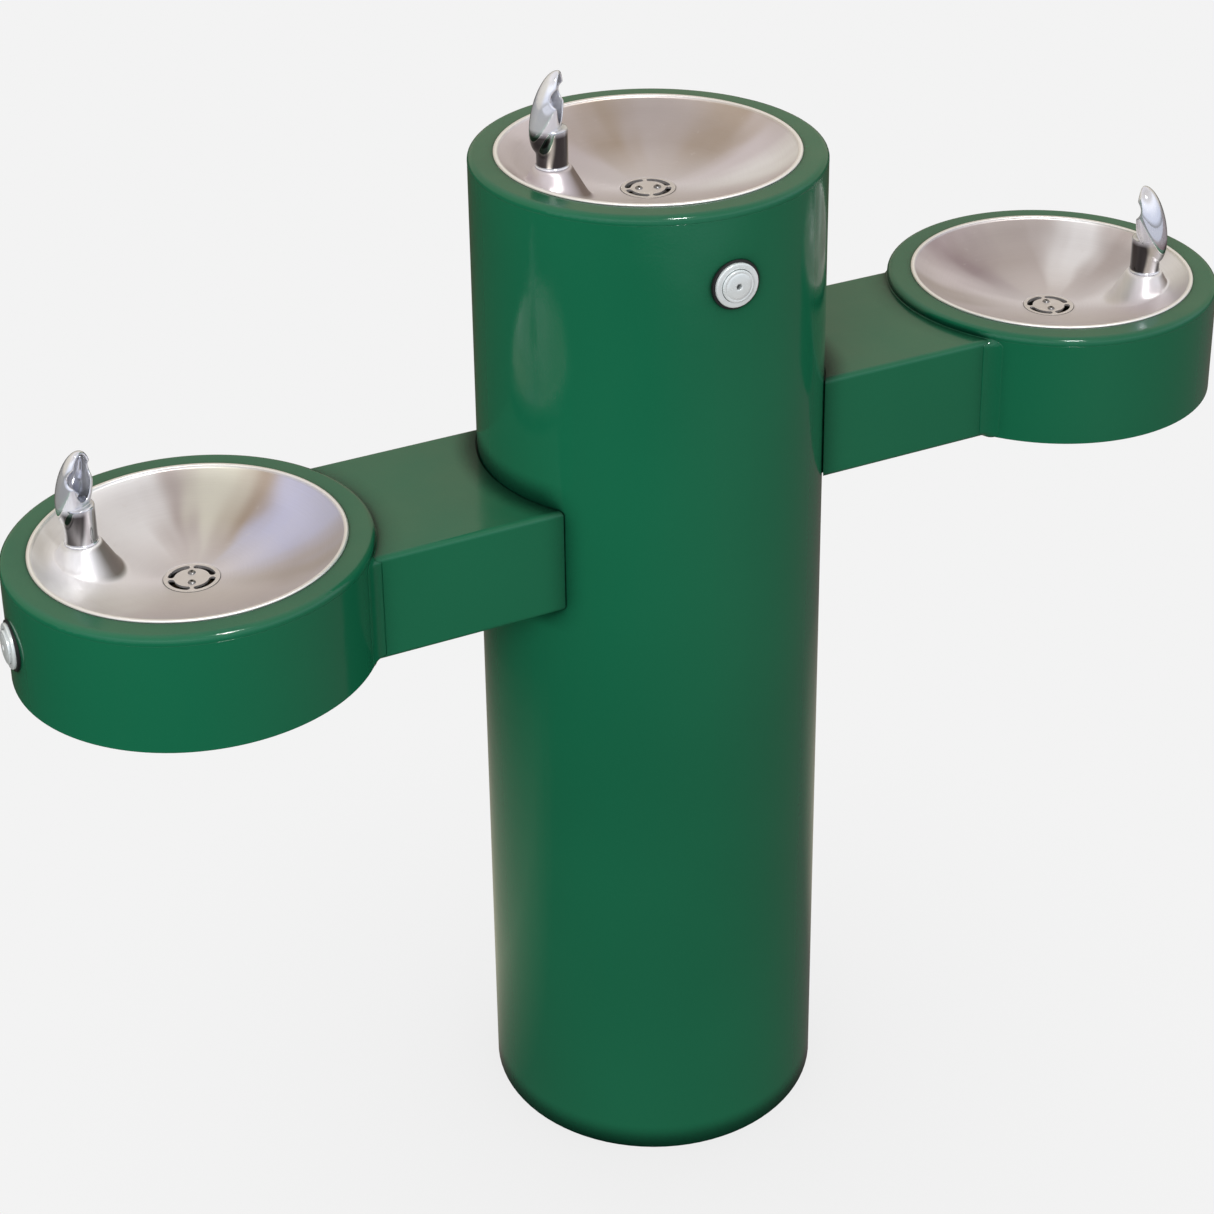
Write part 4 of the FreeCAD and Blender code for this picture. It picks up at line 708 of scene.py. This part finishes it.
def bubbler_field(points):
    """The cast bubbler: below 0 inside the metal."""
    spot = leaning(points)
    hollow = egg(spot, HOOD_HALF - HOOD_WALL)
    mound = egg([points[..., axis] - MOUND_CENTRE[axis] for axis in range(3)], MOUND_HALF)
    hollow = soft_max(hollow, -mound, 1.5)
    notch = np.hypot(points[..., 0] - NOTCH_CENTRE[0], points[..., 2] - NOTCH_CENTRE[1])
    hood = soft_max(egg(spot, HOOD_HALF), -hollow, 0.8)
    hood = soft_max(hood, points[..., 0] - FACE_REACH, 2.4)
    hood = soft_max(hood, NOTCH_RADIUS - notch, 2.4)
    collar = post(points, 14.3, -2.0, 36.5, 1.8)
    foot = post(points, 15.2, -2.0, 1.8, 0.6)
    shank = post(points, 7.9, -42.0, 6.0, 0.6)
    body = soft_min(hood, collar, 1.6)
    body = soft_min(body, foot, 1.2)
    body = np.maximum(body, -points[..., 2])
    body = np.minimum(body, shank)
    bore = post(points, 3.8, -50.0, 31.0, 0.2)
    return soft_max(body, -bore, 0.6)


def bubblers():
    axes = [np.arange(low, high, NET_STEP) for low, high in zip(NET_LOW, NET_HIGH)]
    grid = np.stack(np.meshgrid(*axes, indexing="ij"), -1)
    points, faces = surface_net(bubbler_field(grid), NET_LOW, NET_STEP)
    tiny = 0.01
    for _ in range(2):
        value = bubbler_field(points)
        slope = np.stack([(bubbler_field(points + tiny * unit) - value) / tiny
                          for unit in np.eye(3)], 1)
        square = np.maximum((slope ** 2).sum(1, keepdims=True), 0.25)
        points = points - np.clip(value[:, None] * slope / square, -0.3, 0.3)
    for station, spec in STATIONS.items():
        turn = math.radians(spec["bubbler"])
        place = placed(spec["x"] + BUBBLER_REACH * math.cos(turn), BUBBLER_REACH * math.sin(turn),
                       spec["rim"] - BOSS_DROP)
        new_piece(f"{station}_bubbler_casting", turned(points, spec["facing"]), faces, "chrome",
                  ROOT, [f"{station}_bubbler"], place=place, finish=BUBBLER_CHROME[station])


bubblers()


# ---------------------------------------------------------------- push buttons

# Radii of the button's cap and its barrel, in mm.
CAP, CAP_CROWN, CAP_BORE = 14.9, 13.5, 4.0
BARREL, BARREL_BORE, FLANGE = 18.0, 14.0, 20.5


def buttons():
    """A cap with a crowned face and a dimple in its middle, in a barrel with a flange."""
    face, rear = PIPE + 7.2, PIPE - 6.0
    crown = [(radius, face - 0.7 * (radius / CAP_CROWN) ** 2)
             for radius in (12.0, 9.5, 7.0, 5.0, 3.4)]
    cap = rounded([(0.0, PIPE - 1), (CAP_BORE, PIPE - 1), (CAP_BORE, rear), (CAP, rear),
                   (CAP, face - 0.9), (12.6, face - 0.62)], {3: 0.4, 4: 0.9})
    cap += [(12.3, face - 0.85)] + crown
    cap += [(2.9, face - 0.1), (2.6, face - 0.8), (2.3, face - 5.0), (1.2, face - 6.0),
            (0.0, face - 6.1)]
    seat, flange_face = PIPE + 1.2, PIPE + 4.2
    barrel_end, floor_top, floor_bottom = PIPE - 40, PIPE - 24, PIPE - 29
    trim = rounded([(BARREL_BORE, barrel_end), (BARREL, barrel_end), (BARREL, seat),
                    (FLANGE, seat), (FLANGE, flange_face), (15.2, flange_face),
                    (15.1, floor_top), (4.1, floor_top), (4.1, floor_bottom),
                    (BARREL_BORE, floor_bottom)], {1: 0.5, 3: 0.3, 4: 1.7, 5: 0.4, 6: 0.3})
    for station, spec in STATIONS.items():
        lathe(f"{station}_button_cap", cap, "chrome", f"{station}_push", [f"{station}_button"],
              spec, SATIN_CHROME)
        lathe(f"{station}_bezel_trim", trim, "chrome", ROOT, [f"{station}_bezel"], spec,
              SATIN_CHROME)


buttons()


# ---------------------------------------------------------------- welds


def weld_path(width, depth, corner, steps):
    """Points and outward normals round a rounded rectangle."""
    across, up = width / 2 - corner, depth / 2 - corner
    path = []

    def side(start, end, normal):
        count = max(2, int(math.dist(start, end) / steps))
        for share in np.linspace(0, 1, count, endpoint=False):
            path.append((start[0] + (end[0] - start[0]) * share,
                         start[1] + (end[1] - start[1]) * share, *normal))

    def bend(middle, first):
        for share in np.linspace(0, 1, 10, endpoint=False):
            turn = first + share * math.pi / 2
            path.append((middle[0] + corner * math.cos(turn), middle[1] + corner * math.sin(turn),
                         math.cos(turn), math.sin(turn)))

    side((width / 2, -up), (width / 2, up), (1, 0))
    bend((across, up), 0)
    side((across, depth / 2), (-across, depth / 2), (0, 1))
    bend((-across, up), math.pi / 2)
    side((-width / 2, up), (-width / 2, -up), (-1, 0))
    bend((-across, -up), math.pi)
    side((-across, -depth / 2), (across, -depth / 2), (0, -1))
    bend((across, -up), math.pi * 1.5)
    return path


def welds():
    """A concave fillet with shallow ripples where each arm meets its bowl shell."""
    rng = np.random.default_rng(4)
    ripple_pitch, fillet_leg, fillet_points = 4.2, 10.0, 8
    for station, side in (("left", -1), ("right", 1)):
        spec = STATIONS[station]
        low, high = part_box(f"{station}_arm")
        width, depth = (high.y - low.y) / MM, (high.z - low.z) / MM
        middle = (low.z + high.z) / 2 / MM
        path = weld_path(width, depth, 5.0, 1.6)
        wander = rng.normal(0, 1, len(path))
        wander = np.convolve(np.concatenate([wander[-6:], wander, wander[:6]]),
                             np.ones(13) / 13, "valid")
        points, run = [], 0.0
        for number, (y, z, ny, nz) in enumerate(path):
            before = path[number - 1]
            run += math.hypot(y - before[0], z - before[1])
            ripple = 0.16 * abs(math.sin(run * math.pi / ripple_pitch)) + 0.35 * wander[number]
            upright = 1 - abs(nz)
            leg = 0.7 + fillet_leg * upright + ripple * upright
            leg_along = 1.2 + fillet_leg * upright + ripple * upright

            def on_shell(out):
                reach = y + ny * out
                gap = math.sqrt(max(PIPE ** 2 - reach ** 2, 0.0))
                return np.array((spec["x"] - side * gap, reach, middle + z + nz * out))

            toe = on_shell(0.0) + np.array((-side * leg_along, -ny * 0.2, -nz * 0.2))
            climb = on_shell(leg) + np.array((side * 0.2, 0, 0))
            elbow = on_shell(0.6) + np.array((-side * 0.6, 0, 0))
            root = on_shell(0.0) - np.array((-side * 1.0, ny * 0.8, nz * 0.8))
            for share in np.linspace(0, 1, fillet_points):
                points.append((1 - share) ** 2 * toe + 2 * share * (1 - share) * elbow
                              + share ** 2 * climb)
            points.append(root)
        faces = ring_faces(len(path), fillet_points + 1)
        if side > 0:
            faces = [face[::-1] for face in faces]
        new_piece(f"{station}_arm_weld", points, faces, "green_coat", ROOT)


welds()


# ---------------------------------------------------------------- return springs


def springs():
    """A coil round each button's axis, from its seat to its plunger."""
    wire, mean, turns, per_turn, sides, gap = 0.9, 10.5, 4, 40, 12, 0.1
    seat, plunger = PIPE - 24, PIPE - 6
    low, high = seat + wire + gap, plunger - wire - gap
    for station, spec in STATIONS.items():
        points = []
        for step in range(turns * per_turn + 1):
            turn = 2 * math.pi * step / per_turn
            along = low + (high - low) * step / (turns * per_turn)
            for side in range(sides):
                round_wire = 2 * math.pi * side / sides
                radius = mean + wire * math.cos(round_wire)
                points.append((along + wire * math.sin(round_wire), radius * math.cos(turn),
                               radius * math.sin(turn)))
        faces = ring_faces(turns * per_turn + 1, sides, closed=False)
        faces.append(tuple(range(sides))[::-1])
        faces.append(tuple(range(len(points) - sides, len(points))))
        coil = new_piece(f"{station}_coil", turned(points, spec["button"]), faces, "spring_steel",
                         ROOT, [f"{station}_spring"], place=placed(spec["x"], 0, spec["button_z"]))
        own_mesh(coil)


springs()


# ---------------------------------------------------------------- floor, light and camera

PALE = 0.896
CAMERA_SPOT = Vector((-0.9945, -1.9330, 1.8325))
CAMERA_RIGHT, CAMERA_AHEAD = Vector((0.8951, -0.4458, -0.0122)), Vector((0.4032, 0.8207, -0.4048))
CAMERA_SHIFT = {"shift_x": 0.002, "shift_y": -0.2708}


def floor():
    """A plain pale floor with a soft contact shadow. Reflections see it darker, with a grey part
    on the right and a warm part close behind the column. From below it is clear."""
    mesh = bpy.data.meshes.new("floor")
    reach = 14.0
    mesh.from_pydata([(-reach, -reach, 0), (reach, -reach, 0), (reach, reach, 0),
                      (-reach, reach, 0)], [], [(0, 1, 2, 3)])
    piece = bpy.data.objects.new("floor", mesh)
    scene.collection.objects.link(piece)
    s = new_shader("floor")
    shown = s.remap(s.openness(0.5, 8), 0.25, 1.0, 0.80, PALE)
    path = s.node("ShaderNodeLightPath")
    spot = s.split(s.geometry("Position"))
    depth = s.remap(spot["Y"], -4.0, 4.0, 0.0, 1.0)
    dark_side, grey_side = (s.ramp(depth, ((0.16, (0.45, 0.47, 0.55)), (0.25, middle),
                                           (0.50, middle), (0.72, (0.08, 0.07, 0.05))))
                            for middle in ((0.020, 0.022, 0.020), (0.19, 0.14, 0.15)))
    far = s.mix(s.remap(spot["X"], -0.9, 0.5, 0.0, 1.0), dark_side, grey_side)
    near = s.times(s.remap(s.length(spot["X"], spot["Y"]), 0.30, 0.95, 0.75, 0.0),
                   s.remap(spot["Y"], 0.0, 0.2, 0.0, 1.0))
    mirrored = s.mix(near, far, rgb(0.62, 0.59, 0.46))
    bounced = s.mix(path.outputs["Is Glossy Ray"], rgb(0.30, 0.29, 0.26), mirrored)
    above = s.blend(path.outputs["Is Camera Ray"], s.glow(bounced),
                    s.glow(s.combine(shown, shown, shown)))
    clear = s.node("ShaderNodeBsdfTransparent").outputs[0]
    mesh.materials.append(s.end(s.blend(s.geometry("Backfacing"), above, clear)))
    piece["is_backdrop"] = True


def surround():
    """A pale backdrop for the camera. Reflections see a bright window side in front, and a warm
    dim wall under a bright ceiling behind. Other light comes evenly from all sides."""
    world = bpy.data.worlds.new("studio")
    scene.world = world
    s = Shader(world, "ShaderNodeOutputWorld", "Generated")
    way = s.split(s.space)
    rise = s.remap(way["Z"], -1.0, 1.0, 0.0, 1.0)
    window = s.ramp(rise, ((0.46, (0.03, 0.03, 0.03)), (0.54, (0.62, 0.66, 0.78)),
                           (0.70, (0.95, 0.97, 1.05)), (0.82, (0.62, 0.59, 0.58)),
                           (0.95, (0.52, 0.48, 0.46))))
    wall = s.ramp(rise, ((0.46, (0.30, 0.26, 0.20)), (0.54, (0.52, 0.46, 0.36)),
                         (0.68, (0.56, 0.50, 0.38)), (0.75, (0.63, 0.56, 0.46)),
                         (0.85, (0.76, 0.70, 0.66)), (0.95, (0.68, 0.64, 0.63))))
    mirrored = s.mix(s.remap(way["Y"], -0.25, 0.2, 0.0, 1.0), window, wall)
    path = s.node("ShaderNodeLightPath")
    lit = s.mix(path.outputs["Is Glossy Ray"], rgb(0.55, 0.55, 0.55), mirrored)
    shown = s.mix(path.outputs["Is Camera Ray"], lit, rgb(PALE, PALE, PALE))
    light = s.node("ShaderNodeBackground")
    s.join(shown, light.inputs["Color"])
    s.end(light.outputs[0])


def panel(name, at, towards, width, height, power, mirrored=False):
    """A soft rectangular light that is either seen in reflections only, or not seen in them."""
    light = bpy.data.lights.new(name, "AREA")
    light.shape = "RECTANGLE"
    light.size, light.size_y = width, height
    light.energy = power
    lamp = bpy.data.objects.new(name, light)
    scene.collection.objects.link(lamp)
    lamp.location = at
    lamp.rotation_euler = (Vector(towards) - Vector(at)).to_track_quat("-Z", "Y").to_euler()
    lamp.visible_glossy = mirrored
    lamp.visible_diffuse = not mirrored


def camera():
    """The camera. Its lens is shifted here, and straight again wherever else it is put."""
    lens = bpy.data.cameras.new("camera")
    lens.lens, lens.sensor_width = 77.25, 36.0
    lens.clip_start, lens.clip_end = 0.05, 100.0
    eye = bpy.data.objects.new("camera", lens)
    scene.collection.objects.link(eye)
    right, ahead = CAMERA_RIGHT.normalized(), CAMERA_AHEAD.normalized()
    up = right.cross(ahead).normalized()
    turn = Matrix((right, up, -ahead)).transposed().to_4x4()
    eye.matrix_world = Matrix.Translation(CAMERA_SPOT) @ turn
    mark = bpy.data.objects.new("camera_spot", None)
    scene.collection.objects.link(mark)
    mark.location = CAMERA_SPOT
    for prop, shift in CAMERA_SHIFT.items():
        curve = lens.driver_add(prop)
        driver = curve.driver
        driver.type = "SUM"
        apart = driver.variables.new()
        apart.name = "apart"
        apart.type = "LOC_DIFF"
        apart.targets[0].id = eye
        apart.targets[1].id = mark
        for modifier in list(curve.modifiers):
            curve.modifiers.remove(modifier)
        curve.keyframe_points.add(2)
        for key, spot in zip(curve.keyframe_points, ((0.0, shift), (0.01, 0.0))):
            key.co = spot
            key.interpolation = "LINEAR"
    scene.camera = eye


floor()
surround()
panel("key", (-2.2, -2.6, 2.4), (0, 0, 0.6), 2.2, 1.8, 88)
panel("fill", (3.0, -1.6, 2.0), (0, 0, 0.6), 1.6, 1.6, 12)
panel("glint", (-0.2, -2.4, 3.6), (0, 0, 0.8), 0.5, 0.25, 60, mirrored=True)
camera()
scene.view_settings.view_transform = "Standard"

low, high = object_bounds()
